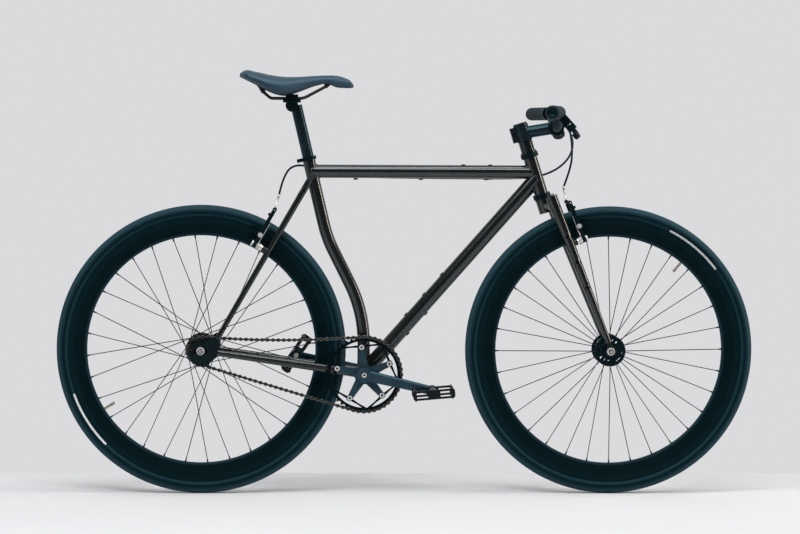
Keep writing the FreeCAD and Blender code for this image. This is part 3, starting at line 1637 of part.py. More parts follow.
def guide_point(x):
    """The middle of the rear brake cable where it runs along the top tube, below and to its left."""
    reach = number(top_radius) + number(d.housing_diameter) * 0.64
    turn = math.radians(number(d.guide_angle))
    return Vector(x, reach * math.cos(turn), number(d.top_tube_height) - reach * math.sin(turn))


def cable_guide(x):
    """A short sleeve under the top tube that the housing runs through."""
    half = X_AXIS * number(d.boss_diameter) / 2
    middle = guide_point(x)
    inner = d.housing_diameter / 2 + d.running_fit
    collar = ring("cable_guide_ring", d.guide_radius, inner, middle - half, middle + half)
    return cut("cable_guide", collar, top_skin)


stay_sleeves = [sleeve for plug, sleeve in stay_bosses]
rear_stud = brake_stud("rear_stud", rear_brake, stay_skin)
fittings = [sleeve for plug, sleeve in top_bosses + down_bosses]
first_guide = tube_front - number(d.guide_behind_head)
last_guide = tube_rear + number(d.guide_ahead_of_seat)
fittings += [cable_guide(x) for x in (first_guide, (first_guide + last_guide) / 2, last_guide)]
for piece in stay_sleeves + [rear_stud]:
    fittings += [piece, mirrored(piece.Name + "_twin", piece)]
node(group("frame_fittings", *fittings), "frame_fittings")


def seat_collar():
    """A clamp ring round the top of the seat tube, with two ears and a bolt behind it."""
    low = seat_top - seat_up * number(d.collar_height)
    radius = d.seat_tube_diameter / 2
    outer = radius + d.collar_wall
    back = Vector(-seat_up.z, 0, seat_up.x)
    half = d.collar_height / 2
    ear_at = seat_top - seat_up * number(half) + back * number(outer + d.collar_ear_length * 0.3)
    frame = in_frame(ear_at, back, Y_AXIS)
    ears = block("collar_ears", d.collar_ear_length, d.collar_ear_width, d.collar_height, frame)
    slit = block("collar_slit", d.collar_ear_length * 2, d.faceplate_gap, d.collar_height * 2, frame)
    bolt_at = ear_at + back * number(d.collar_bolt_radius / 2)
    bolt_half = d.collar_bolt_length / 2
    shank = sideways("collar_shank", d.collar_bolt_radius, bolt_at, bolt_half, -bolt_half)
    heads = []
    for side in (1, -1):
        heads.append(sideways("collar_bolt_head", d.collar_bolt_radius * 1.4, bolt_at,
                              side * d.collar_ear_width / 2, side * bolt_half))
    bolt = fuse("collar_bolt", shank, *heads)
    band = fuse("collar_band", rod("collar_ring", outer, low, seat_top), ears)
    clamp = cut("collar_clamp", band, rod("collar_bore", radius, low, seat_top), slit, bolt)
    return group("seat_collar_parts", clamp, bolt)


node(seat_collar(), "seat_collar")

# Headset and fork
steerer_radius = d.steerer_diameter / 2
crown_top = d.head_tube_rise - d.cup_height - d.part_gap - d.race_height
crown_low = crown_top - d.crown_height
cover_low = d.head_tube_rise + d.head_tube_length + d.cup_height + d.part_gap
spacer_low = cover_low + d.race_height
stem_low = spacer_low + d.spacer_height
stem_high = stem_low + d.stem_clamp_height
steerer_skin = rod("steerer_skin", steerer_radius, on_steerer(crown_low), on_steerer(stem_high))
steerer_bore = rod("steerer_bore", steerer_radius - d.blade_wall,
                   on_steerer(crown_low), on_steerer(stem_high))
node(cut("fork_steerer", steerer_skin, steerer_bore), "fork_steerer")


def head_cup(name, foot, direction):
    """A cup whose skirt presses into the head tube, and its bearing round the steerer."""
    height = d.cup_height
    seat = height - d.head_bearing_height
    skirt = head_bore_radius - wall
    race = steerer_radius + d.running_fit
    cup = turned(name, [
        (d.head_bearing_radius, height), (d.head_bearing_radius, seat),
        (skirt, seat), (skirt, -d.cup_skirt),
        (head_bore_radius, -d.cup_skirt), (head_bore_radius, 0), (d.cup_radius, 0), (d.cup_radius, height),
    ])
    bearing = turned(name + "_bearing", [
        (race, seat), (d.head_bearing_radius, seat), (d.head_bearing_radius, height), (race, height),
    ])
    for piece in (cup, bearing):
        piece.Placement = FreeCAD.Placement(foot, along(direction))
    return [cup, bearing]


lower_cup = head_cup("lower_cup", head_low, -steer_up)
upper_cup = head_cup("upper_cup", head_high, steer_up)
node(group("headset_cups", *lower_cup, *upper_cup),
     "headset_cups")
node(group(
    "headset_spacers",
    ring("crown_race", d.race_radius, steerer_radius,
         on_steerer(crown_top), on_steerer(crown_top + d.race_height)),
    ring("top_cover", d.race_radius, steerer_radius, on_steerer(cover_low), on_steerer(spacer_low)),
    ring("spacer", d.spacer_radius, steerer_radius, on_steerer(spacer_low), on_steerer(stem_low)),
), "headset_spacers")


def on_blade(rise):
    """The point of the drive-side blade's axis at a rise, and the blade's radius there."""
    low = number(d.blade_tip_rise)
    share = (float(rise) - low) / (number(d.blade_top_rise) - low)
    tip = number(d.blade_tip_diameter) / 2
    top = number(d.blade_top_diameter) / 2
    return blade_tip + (blade_top - blade_tip) * share, tip + (top - tip) * share


def fork_plate():
    """A fork end: a flat plate round the axle slot, with a tongue up into the blade."""
    slot = d.axle_diameter / 2 + d.axle_slot_clearance
    wide = d.fork_plate_radius
    tongue = d.blade_tip_rise * 1.9
    neck = d.blade_tip_rise * 0.85
    body = plate("fork_plate", d.fork_plate_thickness, [
        (slot, wide * -0.95), (wide * 0.92, wide * -0.4), (wide, wide * 0.3), (wide * 0.62, neck),
        (wide * 0.62, tongue), (wide * -0.15, tongue), (wide * -0.15, neck), (-wide, wide * 0.3),
        (wide * -0.92, wide * -0.4), (-slot, wide * -0.95),
        (-slot, 0), (0, slot, slot, -1), (slot, 0, slot, -1),
    ])
    lean = math.degrees(math.atan2(-blade_flat.x, blade_flat.z))
    body.Placement = side_view(at_side(front, d.front_hub_width / 2), lean)
    return body


blade_skin = taper("blade_skin", d.blade_tip_diameter / 2, d.blade_top_diameter / 2, blade_tip, blade_top)
blade_twin = mirrored("blade_skin_twin", blade_skin)
hollow_tip = d.blade_tip_diameter / 2 - d.blade_wall
hollow_top = d.blade_top_diameter / 2 - d.blade_wall
blade_hollow = taper("blade_hollow", hollow_tip, hollow_top,
                     on_blade(d.blade_tip_rise * 2)[0], on_blade(d.blade_top_rise - d.blade_wall * 2)[0])
fork_end = fork_plate()
fork_bosses = []
for k in range(3):
    middle, radius = on_blade(number(d.fork_boss_top_rise) - k * number(d.boss_spacing))
    fork_bosses.append(boss("fork_boss", d.boss_diameter / 2, middle - Y_AXIS * radius, -Y_AXIS))
blade = cut("blade", blade_skin, blade_hollow, fork_end, *[plug for plug, sleeve in fork_bosses])
node(pair("fork_blades", blade), "fork_blades")
node(pair("fork_dropouts", fork_end), "fork_dropouts")

arm_rise = crown_low + d.crown_height / 2
crown_arm = rod("crown_arm", d.crown_arm_diameter / 2, on_steerer(arm_rise), on_blade(arm_rise)[0])
socket = rod("crown_socket", d.crown_radius, on_steerer(crown_low), on_steerer(crown_top))
crown_forging = fuse("crown_forging", socket, crown_arm, mirrored("crown_arm_twin", crown_arm))
node(cut("fork_crown", crown_forging, steerer_skin, blade_skin, blade_twin), "fork_crown")

front_stud = brake_stud("front_stud", front_brake, blade_twin)
fork_pieces = []
for piece in [sleeve for plug, sleeve in fork_bosses] + [front_stud]:
    fork_pieces += [piece, mirrored(piece.Name + "_twin", piece)]
node(group("fork_fittings", *fork_pieces), "fork_fittings")

# Stem and handlebar
stem_middle = on_steerer(stem_low + d.stem_clamp_height / 2)
stem_along = spun(1, d.stem_slope)
stem_over = spun(1, number(d.stem_slope) + 90)
bar_centre = stem_middle + stem_along * number(d.stem_length)
jaw_half = d.bar_clamp_width / 2
jaw = rod("stem_jaw", d.bar_clamp_radius, at_side(bar_centre, jaw_half), at_side(bar_centre, -jaw_half))
bar_hole = sideways("bar_hole", d.bar_centre_diameter / 2, bar_centre, jaw_half, -jaw_half)


def jaw_half_space(name, side):
    """A block that covers the stem's jaw ahead of the bar's middle or behind it."""
    size = d.bar_clamp_radius * 4
    middle = bar_centre + stem_along * number(size / 2 - d.faceplate_gap / 2) * side
    return block(name, size, size, size, in_frame(middle, stem_along, Y_AXIS))


def jaw_bolt(over, left):
    """A bolt through the faceplate into the stem."""
    foot = bar_centre + stem_over * over + Y_AXIS * left
    radius = d.stem_bolt_radius
    reach = number(d.bar_clamp_radius)
    shank = rod("jaw_bolt_shank", radius * 0.6,
                foot - stem_along * reach * 0.5, foot + stem_along * reach * 0.55)
    head = rod("jaw_bolt_head", radius, foot + stem_along * reach * 0.55, foot + stem_along * reach * 0.75)
    return fuse("jaw_bolt", shank, head)


def pinch_bolt(rise):
    """A bolt across the ears behind the steerer clamp."""
    foot = on_steerer(stem_low + rise, -d.stem_clamp_radius - d.stem_bolt_radius)
    half = d.stem_clamp_radius * 0.6
    head = half + d.stem_bolt_radius
    return fuse(
        "pinch_bolt",
        rod("pinch_shank", d.stem_bolt_radius * 0.7, at_side(foot, half), at_side(foot, -half)),
        rod("pinch_head", d.stem_bolt_radius * 1.2, at_side(foot, half), at_side(foot, head)),
        rod("pinch_nut", d.stem_bolt_radius * 1.2, at_side(foot, -half), at_side(foot, -head)))


bolt_over = number(d.bar_centre_diameter) / 2 + number(d.stem_bolt_radius) * 0.8
bolt_left = number(d.bar_clamp_width) * 0.34
jaw_bolts = [jaw_bolt(over, left) for over in (-bolt_over, bolt_over) for left in (-bolt_left, bolt_left)]
pinch_bolts = [pinch_bolt(d.stem_clamp_height * share) for share in (0.25, 0.75)]
all_bolts = group("stem_bolt_set", *jaw_bolts, *pinch_bolts)
ear = block("stem_ear", d.stem_clamp_radius * 0.8, d.stem_clamp_radius * 1.2, d.stem_clamp_height * 0.9,
            in_frame(on_steerer(stem_low + d.stem_clamp_height / 2, -d.stem_clamp_radius - d.stem_bolt_radius * 0.6),
                     steer_forward, Y_AXIS))
stem_forging = fuse(
    "stem_forging", jaw, ear,
    rod("stem_clamp", d.stem_clamp_radius, on_steerer(stem_low), on_steerer(stem_high)),
    rod("stem_arm", d.stem_body_diameter / 2, stem_middle, bar_centre))
node(cut("stem", stem_forging, steerer_skin, bar_hole, jaw_half_space("jaw_ahead", 1), all_bolts), "stem")
node(cut("stem_faceplate", jaw, bar_hole, jaw_half_space("jaw_behind", -1), all_bolts), "stem_faceplate")
cap_high = stem_high + d.top_cap_height
top_cap = rod("top_cap", d.spacer_radius, on_steerer(stem_high), on_steerer(cap_high))
node(group("stem_bolts", *jaw_bolts, *pinch_bolts, top_cap), "stem_bolts")


# Shares of the bar's half width
RISE_START_SHARE = 0.155
RISE_END_SHARE = 0.407
GRIP_SHARE = 0.4414


def bar_points():
    """The bar's bends: a level middle, a rise on each side and ends swept back."""
    half = number(d.bar_width) / 2
    rise = number(d.bar_rise)
    right = [Vector(-number(d.bar_sweep), -half, rise), Vector(0, -half * RISE_END_SHARE, rise),
             Vector(0, -half * RISE_START_SHARE, 0)]
    left = [Vector(p.x, -p.y, p.z) for p in reversed(right)]
    return [bar_centre + point for point in right + left]


bends = bar_points()
bar_path = rounded_path(bends, [number(d.bar_bend_radius)] * 4)
bar_radius = d.bar_diameter / 2
sleeve_half = jaw_half * 1.2
bar_sleeve = sideways("bar_sleeve", d.bar_centre_diameter / 2, bar_centre, sleeve_half, -sleeve_half)
bar_skin = coded("bar_skin", pipe(bar_path, number(bar_radius)))
bar_bore = coded("bar_bore", pipe(bar_path, number(bar_radius - d.bar_wall)))
node(cut("handlebar", fuse("bar_bar", bar_skin, bar_sleeve), bar_bore), "handlebar")

bar_end = bends[0]
inward = (bends[1] - bends[0]).normalize()
grip_length = d.bar_width / 2 * GRIP_SHARE
grip = ring("grip", d.grip_diameter / 2, bar_radius, bar_end, bar_end + inward * number(grip_length))
plug = rod("bar_plug", d.plug_radius, bar_end - inward * number(d.plug_length), bar_end)
node(group("grips", grip, plug, mirrored("grip_twin", grip), mirrored("bar_plug_twin", plug)), "grips")

# Brake levers
lever_lean = spun(1, d.lever_angle)
reach_along = (lever_lean - inward * lever_lean.dot(inward)).normalize()
lever_axis = (-inward).cross(reach_along)


def on_perch(along_bar, reach, across=0.0):
    """A point inward along the bar from the right perch, out towards the lever and across it."""
    middle = bar_end + inward * number(grip_length + d.perch_gap + d.perch_width / 2)
    return middle + inward * float(along_bar) + reach_along * float(reach) + lever_axis * float(across)


adjuster_reach = d.perch_ring_radius + d.part_gap
adjuster_end = on_perch(d.perch_width / 2 + d.adjuster_length, adjuster_reach)


def lever_perch():
    """The clamp round the bar, with two ears, the lever's pin and the cable adjuster."""
    half_width = d.perch_width / 2
    gap_half = d.lever_thickness / 2 + d.part_gap
    outside = gap_half + d.perch_ear
    neck_end = d.perch_reach - d.lever_eye_radius - d.perch_ear * 0.5
    ear_end = d.perch_reach + d.lever_eye_radius * 0.8
    pieces = [
        rod("perch_ring", d.perch_ring_radius, on_perch(-half_width, 0), on_perch(half_width, 0)),
        block("perch_neck", d.perch_width, neck_end, outside * 2,
              in_frame(on_perch(0, neck_end / 2), inward, reach_along)),
        rod("lever_pin", d.lever_pin_radius,
            on_perch(0, d.perch_reach, -outside), on_perch(0, d.perch_reach, outside)),
        rod("adjuster", d.adjuster_radius, on_perch(half_width, adjuster_reach), adjuster_end),
    ]
    ear_start = d.perch_reach - d.lever_eye_radius * 1.6
    for side in (-1, 1):
        middle = on_perch(0, (ear_start + ear_end) / 2, side * (gap_half + d.perch_ear / 2))
        pieces.append(block("perch_ear", d.perch_width, ear_end - ear_start, d.perch_ear,
                            in_frame(middle, inward, reach_along)))
    bore = rod("perch_bore", bar_radius, on_perch(-d.perch_width, 0), on_perch(d.perch_width, 0))
    return cut("lever_perch", fuse("perch_body", *pieces), bore)


def lever():
    """A flat lever blade with its eye on the pin, curved outward along the grip."""
    eye = d.lever_eye_radius
    length = d.lever_length
    outline = [
        (0, -eye), (eye * 0.9, eye * -0.6), (length * 0.22, length * 0.08), (length * 0.42, length * 0.17),
        (length * 0.66, length * 0.2), (length * 0.9, length * 0.18), (length, length * 0.23),
        (length, length * 0.29), (length * 0.94, length * 0.305), (length * 0.7, length * 0.315),
        (length * 0.4, length * 0.29), (length * 0.18, length * 0.2), (0, eye), (-eye, 0, eye, 1),
    ]
    body = plate("lever_blade", d.lever_thickness, outline, Hole(0, 0, d.lever_pin_radius + d.running_fit))
    body.Placement = in_frame(on_perch(0, d.perch_reach, -d.lever_thickness / 2), -inward, reach_along)
    return body


node(pair("lever_perches", lever_perch()), "lever_perches")
right_lever = node(lever(), "brake_lever_right")
node(mirrored("lever_left", right_lever), "brake_lever_left")


# Brake cables
def across_plane(point):
    return Vector(point.x, -point.y, point.z)


def brake_cable(name, brake, side, housing):
    """Housing, bent noodle, boot and inner wire, from a lever or guide to the carrier and pinch bolt."""
    carrier = number(d.brake_stud_spread + d.brake_arm_lean)
    rise = number(d.carrier_rise)
    inner = carrier - number(d.brake_arm_tip_width)
    outer = carrier + number(d.brake_arm_length) * 0.24
    entry = brake.at(side * outer, rise + number(d.brake_arm_length) * 0.4, number(d.brake_arm_thickness))
    noodle = cord(name + "_noodle", [
        entry, brake.at(side * outer, rise), brake.at(side * inner, rise)], number(d.noodle_diameter))
    sheath = cord(name + "_housing", housing + [entry], number(d.housing_diameter))
    wire_end = brake.at(-side * number(carrier + d.brake_arm_tip_width), rise)
    wire = rod(name + "_wire", d.wire_diameter / 2, brake.at(side * inner, rise), wire_end)
    boot = ring(name + "_boot", d.boot_radius, d.wire_diameter / 2,
                brake.at(side * (inner - number(d.boot_overlap)), rise), brake.at(side * inner * 0.3, rise))
    return node(group(name, sheath, noodle, wire, boot), name)


# Where the housings pass, measured from the bar's middle and from the top of the seat tube
FRONT_HOUSING = [(32, -36, -6), (43, 14, -54), (43, 56, -97)]
LOOP = [(48, 68, -16), (48, 60, -60), (16, 46, -97), (-36, 31, -118)]
REAR_HOUSING = [(27, 36, -34), (-22, 46, -16), (-57, 60, -36)]


def passing(origin, offsets):
    return [origin + Vector(*offset) for offset in offsets]


adjuster_left = across_plane(adjuster_end)
inward_left = across_plane(inward)
brake_cable("front_brake_cable", front_brake, 1, [
    adjuster_end, adjuster_end + inward * number(d.housing_start), *passing(bar_centre, FRONT_HOUSING)])
join = guide_point(tube_front - number(d.join_behind_head))
node(cord("cable_loop", [
    adjuster_left, adjuster_left + inward_left * number(d.loop_start), *passing(bar_centre, LOOP),
    guide_point(tube_front - number(d.loop_end_behind_head)), join,
], number(d.housing_diameter)), "rear_brake_cable_loop")
brake_cable("rear_brake_cable", rear_brake, -1, [
    join, guide_point(tube_rear + number(d.housing_leaves_tube)), *passing(seat_top, REAR_HOUSING)])

# Seatpost and saddle
post_radius = d.seatpost_diameter / 2
post_low = seat_top - seat_up * number(d.seatpost_insert)
post_high = seat_axis(d.post_head_height)
post_head_at = post_high - X_AXIS * number(d.post_head_setback)
half_head = d.post_head_width / 2
bore_end = post_high - seat_up * number(d.bar_wall)
post_tube = cut("post_tube", rod("post_skin", post_radius, post_low, post_high),
                rod("post_bore", post_radius - d.bar_wall, post_low, bore_end))
post_head = sideways("post_head", d.post_head_radius, post_head_at, half_head, -half_head)
node(fuse("seatpost", post_tube, post_head), "seatpost")

rail_z = d.post_head_height + d.rail_rise
rail_radius = d.rail_diameter / 2
clamp_half = d.rail_spread + d.rail_diameter
level = FreeCAD.Rotation()


def clamp_plate(name, low, length):
    """A plate of the saddle clamp, wide enough for both rails."""
    middle = Vector(post_head_at.x, 0, number(low + d.clamp_plate / 2))
    return block(name, length, clamp_half * 2, d.clamp_plate, FreeCAD.Placement(middle, level))


lower_plate = clamp_plate("lower_clamp", rail_z - rail_radius - d.clamp_plate, d.clamp_length)
upper_plate = clamp_plate("upper_clamp", rail_z + rail_radius, d.clamp_length * 0.7)
bolt_high = Vector(post_head_at.x, 0, number(rail_z + rail_radius + d.clamp_plate * 1.2))
clamp_bar = rod("clamp_bolt_bar", d.clamp_bolt_radius, post_head_at, bolt_high)
clamp_bolt = cut("clamp_bolt", clamp_bar, post_head)
clamp_pieces = [
    cut("lower_clamp_plate", lower_plate, post_head, clamp_bolt),
    cut("upper_clamp_plate", upper_plate, clamp_bolt),
    clamp_bolt,
]
node(group("saddle_clamp", *clamp_pieces), "saddle_clamp")

# Stations along the saddle, from the post's head and the rails: x, top, underside, half width
SADDLE_STATIONS = [
    (-118, 59.5, 44.5, 34), (-108, 62.5, 33.5, 56), (-83, 57.5, 22.5, 68), (-53, 52.5, 10.5, 71),
    (-18, 50.5, 7.5, 63), (17, 50.5, 18.5, 46), (57, 52.5, 29.5, 31), (97, 53.5, 26.5, 23),
    (127, 49.5, 22.5, 20), (146, 37.5, 25.5, 12),
]
FOOT_SHARE = 0.86
BASE_SHARE = 0.8
HOLLOW_SHARE = 0.14


def saddle_section(x, top, low, half):
    """A hollowed underside, bulging sides drawn in below, and a crowned top."""
    side = (top + low) / 2
    crown = (top - low) * 0.3

    def at(y, z):
        return Vector(x, y, z)

    shoulder = half * 0.72
    foot = half * FOOT_SHARE
    edges = [
        Part.Arc(at(-foot, low), at(0, low + half * HOLLOW_SHARE), at(foot, low)).toShape(),
        Part.Arc(at(foot, low), at(half, side), at(shoulder, top - crown)).toShape(),
        Part.Arc(at(shoulder, top - crown), at(0, top), at(-shoulder, top - crown)).toShape(),
        Part.Arc(at(-shoulder, top - crown), at(-half, side), at(-foot, low)).toShape(),
    ]
    return Part.Wire(edges)


def base_section(x, low, half):
    """A shallow plate under the cover's hollow underside."""
    thickness = number(d.saddle_base_thickness)
    share = (BASE_SHARE / FOOT_SHARE) ** 2
    hollow = half * HOLLOW_SHARE
    edge = low + hollow * (1 - share)
    wide = half * BASE_SHARE

    def at(y, z):
        return Vector(x, y, z)

    over = thickness - number(d.part_gap)
    edges = [
        Part.Arc(at(-wide, edge), at(0, low + hollow), at(wide, edge)).toShape(),
        Part.LineSegment(at(wide, edge), at(wide, edge + over)).toShape(),
        Part.Arc(at(wide, edge + over), at(0, low + hollow + over), at(-wide, edge + over)).toShape(),
        Part.LineSegment(at(-wide, edge + over), at(-wide, edge)).toShape(),
    ]
    return Part.Wire(edges)


cover_wires = []
base_wires = []
saddle_foot = Vector(post_head_at.x, 0, number(rail_z))
for along_saddle, top, low, half in SADDLE_STATIONS:
    x = saddle_foot.x + along_saddle
    crown = saddle_foot.z + top
    underside = saddle_foot.z + low
    cover_low = underside + number(d.saddle_base_thickness)
    cover_wires.append(coded("cover_section", saddle_section(x, crown, cover_low, half)))
    base_wires.append(coded("base_section", base_section(x, underside, half)))
cover = node(loft("saddle_cover", *cover_wires), "saddle_cover")
base = node(loft("saddle_base", *base_wires), "saddle_base")


def saddle_rail():
    """A bent rail from the shell's rear, level through the clamp and up into the nose."""
    spread = number(d.rail_spread)
    tail = saddle_foot + Vector(-number(d.rail_rear_reach), -spread, 0)
    nose = saddle_foot + Vector(number(d.rail_front_reach), -spread, 0)
    points = [
        tail + Vector(-number(d.rail_tail_length), 0, number(d.rail_tail_rise)), tail, nose,
        nose + Vector(number(d.rail_nose_length), spread * 0.4, number(d.rail_nose_rise)),
    ]
    bends = [number(d.rail_tail_bend), number(d.rail_nose_bend)]
    return coded("saddle_rail_bar", pipe(rounded_path(points, bends), number(rail_radius)))


rail = cut("saddle_rail", saddle_rail(), base, cover)
node(pair("saddle_rails", rail), "saddle_rails")


def write_parts():
    """Recomputes the document, checks every piece and writes one file for each sub-part."""
    doc.recompute()
    for obj in doc.Objects:
        if "Invalid" in obj.State or "Error" in obj.State:
            raise RuntimeError("%s failed: %s" % (obj.Label, obj.State))
    for piece in NODES:
        if piece.Shape.isNull() or not piece.Shape.isValid():
            raise RuntimeError("%s has no valid shape" % piece.Label)
    for piece in NODES:
        piece.Shape.exportStep("parts/%s.step" % piece.Label)


write_parts()
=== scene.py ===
import json
import math

import bpy
import numpy as np
from mathutils import Matrix, Vector


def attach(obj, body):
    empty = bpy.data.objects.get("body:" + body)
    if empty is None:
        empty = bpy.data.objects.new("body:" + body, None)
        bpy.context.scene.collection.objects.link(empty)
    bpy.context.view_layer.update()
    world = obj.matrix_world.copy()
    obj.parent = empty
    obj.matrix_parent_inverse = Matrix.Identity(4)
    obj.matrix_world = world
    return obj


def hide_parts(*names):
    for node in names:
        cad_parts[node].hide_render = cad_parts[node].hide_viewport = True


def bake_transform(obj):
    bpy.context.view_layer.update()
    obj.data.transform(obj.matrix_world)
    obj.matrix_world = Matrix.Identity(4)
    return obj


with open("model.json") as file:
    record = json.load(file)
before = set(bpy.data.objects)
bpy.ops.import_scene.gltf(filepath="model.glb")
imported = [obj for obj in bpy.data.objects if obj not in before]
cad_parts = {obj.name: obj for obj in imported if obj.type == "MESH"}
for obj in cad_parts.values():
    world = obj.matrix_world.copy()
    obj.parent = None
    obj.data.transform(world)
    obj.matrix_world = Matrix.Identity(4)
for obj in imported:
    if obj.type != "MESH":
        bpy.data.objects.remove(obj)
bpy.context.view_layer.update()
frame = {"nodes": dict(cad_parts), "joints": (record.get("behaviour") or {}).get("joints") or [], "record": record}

NODES = frame["nodes"]
JOINTS = {joint["name"]: joint for joint in frame["joints"]}
TAU = 2 * math.pi


def joint_place(name):
    return np.array(JOINTS[name]["pos_m"], dtype=float)


def joint_axis(name):
    return np.array(JOINTS[name]["axis"], dtype=float)


# Places and directions shared by several pieces, in metres in the row frame
FRONT = joint_place("front_wheel_spin")
REAR = joint_place("rear_wheel_spin")
BRACKET = joint_place("crank_spin")
STEER_POINT = joint_place("steering_turn")
STEER_UP = joint_axis("steering_turn")
SEAT_UP = joint_axis("seatpost_slide")
FRONT_STUD = joint_axis("front_left_arm_turn")
REAR_STUD = joint_axis("rear_right_arm_turn")
AHEAD = np.array([1.0, 0.0, 0.0])
UP = np.array([0.0, 0.0, 1.0])
OUTWARD = np.array([0.0, -1.0, 0.0])
OTHER_SIDE = np.array([1.0, -1.0, 1.0])
BOLT_CIRCLE = 0.065
SPIDER_ARMS = [math.radians(23.203 + 72 * arm) for arm in range(5)]

# Camera
FOCAL_PIXELS = 2821.2
PICTURE_WIDTH = 800
SENSOR_WIDTH = 36.0
CAMERA_PLACE = (-0.248, -6.70, 0.85)
CAMERA_TURNS = ((-2.0010, "Z"), (90 - 2.6515, "X"), (0.2659, "Z"))


def place_camera():
    """A long lens at the height of the bar, turned to the photograph's frame by pan, tilt and roll."""
    data = bpy.data.cameras.new("camera")
    data.sensor_width = SENSOR_WIDTH
    data.lens = FOCAL_PIXELS * SENSOR_WIDTH / PICTURE_WIDTH
    data.clip_end = 100
    camera = bpy.data.objects.new("camera", data)
    bpy.context.collection.objects.link(camera)
    placed = Matrix.Translation(CAMERA_PLACE)
    for angle, axis in CAMERA_TURNS:
        placed = placed @ Matrix.Rotation(math.radians(angle), 4, axis)
    camera.matrix_world = placed
    bpy.context.scene.camera = camera


# Node groups that several finishes share
class Tree:
    """A node tree under construction, with short calls for the nodes that are used most."""

    def __init__(self, tree):
        self.tree = tree

    def add(self, kind, **settings):
        node = self.tree.nodes.new(kind)
        for key, value in settings.items():
            setattr(node, key, value)
        return node

    def feed(self, node, socket, value):
        """Links a socket to an output, or sets its own value."""
        if isinstance(value, bpy.types.NodeSocket):
            self.tree.links.new(value, node.inputs[socket])
        else:
            node.inputs[socket].default_value = value

    def noise(self, place, scale, detail, softness):
        node = self.add("ShaderNodeTexNoise")
        values = {"Vector": place, "Scale": scale, "Detail": detail, "Roughness": softness}
        for socket, value in values.items():
            self.feed(node, socket, value)
        return node.outputs["Fac"]

    def math(self, operation, a, b=0.0):
        node = self.add("ShaderNodeMath", operation=operation)
        for socket, value in enumerate((a, b)):
            self.feed(node, socket, value)
        return node.outputs[0]

    def remap(self, value, low, high, new_low, new_high):
        node = self.add("ShaderNodeMapRange")
        for socket, item in enumerate((value, low, high, new_low, new_high)):
            self.feed(node, socket, item)
        return node.outputs[0]

    def mix(self, share, first, second):
        """A colour between two: the first where share is zero, the second where it is one."""
        node = self.add("ShaderNodeMix", data_type="RGBA")
        self.feed(node, 0, share)
        for socket, colour in ((6, first), (7, second)):
            self.feed(node, socket, (*colour, 1.0) if isinstance(colour, tuple) else colour)
        return node.outputs[2]

    def parts(self, place):
        node = self.add("ShaderNodeSeparateXYZ")
        self.feed(node, 0, place)
        return node.outputs

    def use(self, group, **values):
        """Places a node group with its own values and gives its outputs."""
        node = self.add("ShaderNodeGroup", node_tree=group)
        for socket, value in values.items():
            self.feed(node, socket, value)
        return node.outputs


def node_group(name, inputs, outputs, make):
    """A node group, built once. Its inputs are numbers apart from Place, and make works out its outputs."""
    tree = bpy.data.node_groups.new(name, "ShaderNodeTree")
    for socket in inputs:
        kind = "NodeSocketVector" if socket == "Place" else "NodeSocketFloat"
        tree.interface.new_socket(socket, in_out="INPUT", socket_type=kind)
    for socket in outputs:
        tree.interface.new_socket(socket, in_out="OUTPUT", socket_type="NodeSocketFloat")
    nodes = Tree(tree)
    given = nodes.add("NodeGroupInput").outputs
    result = nodes.add("NodeGroupOutput")
    for socket, value in zip(outputs, make(nodes, given)):
        nodes.feed(result, socket, value)
    return tree


def cloudy_grain(nodes, given):
    """Broad clouds for the colour, clouds mixed with fine noise for the roughness, and the fine noise."""
    clouds = nodes.noise(given["Place"], given["Scale"], given["Detail"], given["Softness"])
    fine = nodes.noise(given["Place"], nodes.math("MULTIPLY", given["Scale"], 14.0), 2.0, 0.5)
    broad = nodes.math("MULTIPLY", clouds, nodes.math("SUBTRACT", 1.0, given["Fine"]))
    mixed = nodes.math("ADD", broad, nodes.math("MULTIPLY", fine, given["Fine"]))
    return nodes.remap(clouds, 0.3, 0.7, 0.0, 1.0), nodes.remap(mixed, 0.3, 0.7, 0.0, 1.0), fine


def axle_polar(nodes, given):
    """Radius and angle of a point about an axle, seen from the drive side, and its place along the axle."""
    x, y, z = nodes.parts(given["Place"])
    across = nodes.math("SUBTRACT", x, given["X"])
    up = nodes.math("SUBTRACT", z, given["Z"])
    square = nodes.math("ADD", nodes.math("MULTIPLY", across, across), nodes.math("MULTIPLY", up, up))
    return nodes.math("SQRT", square), nodes.math("ARCTAN2", up, across), y


def soft_band(nodes, given):
    """One between low and high, zero outside, with soft edges."""
    edges = []
    for edge, first, last in (("Low", 0.0, 1.0), ("High", 1.0, 0.0)):
        before = nodes.math("SUBTRACT", given[edge], given["Soft"])
        after = nodes.math("ADD", given[edge], given["Soft"])
        edges.append(nodes.remap(given["Value"], before, after, first, last))
    return [nodes.math("MULTIPLY", *edges)]


CLOUDY_GRAIN = node_group("cloudy_grain", ("Place", "Scale", "Detail", "Softness", "Fine"),
                          ("Share", "Uneven", "Grain"), cloudy_grain)
AXLE_POLAR = node_group("axle_polar", ("Place", "X", "Z"), ("Radius", "Angle", "Side"), axle_polar)
SOFT_BAND = node_group("soft_band", ("Value", "Low", "High", "Soft"), ("Mask",), soft_band)


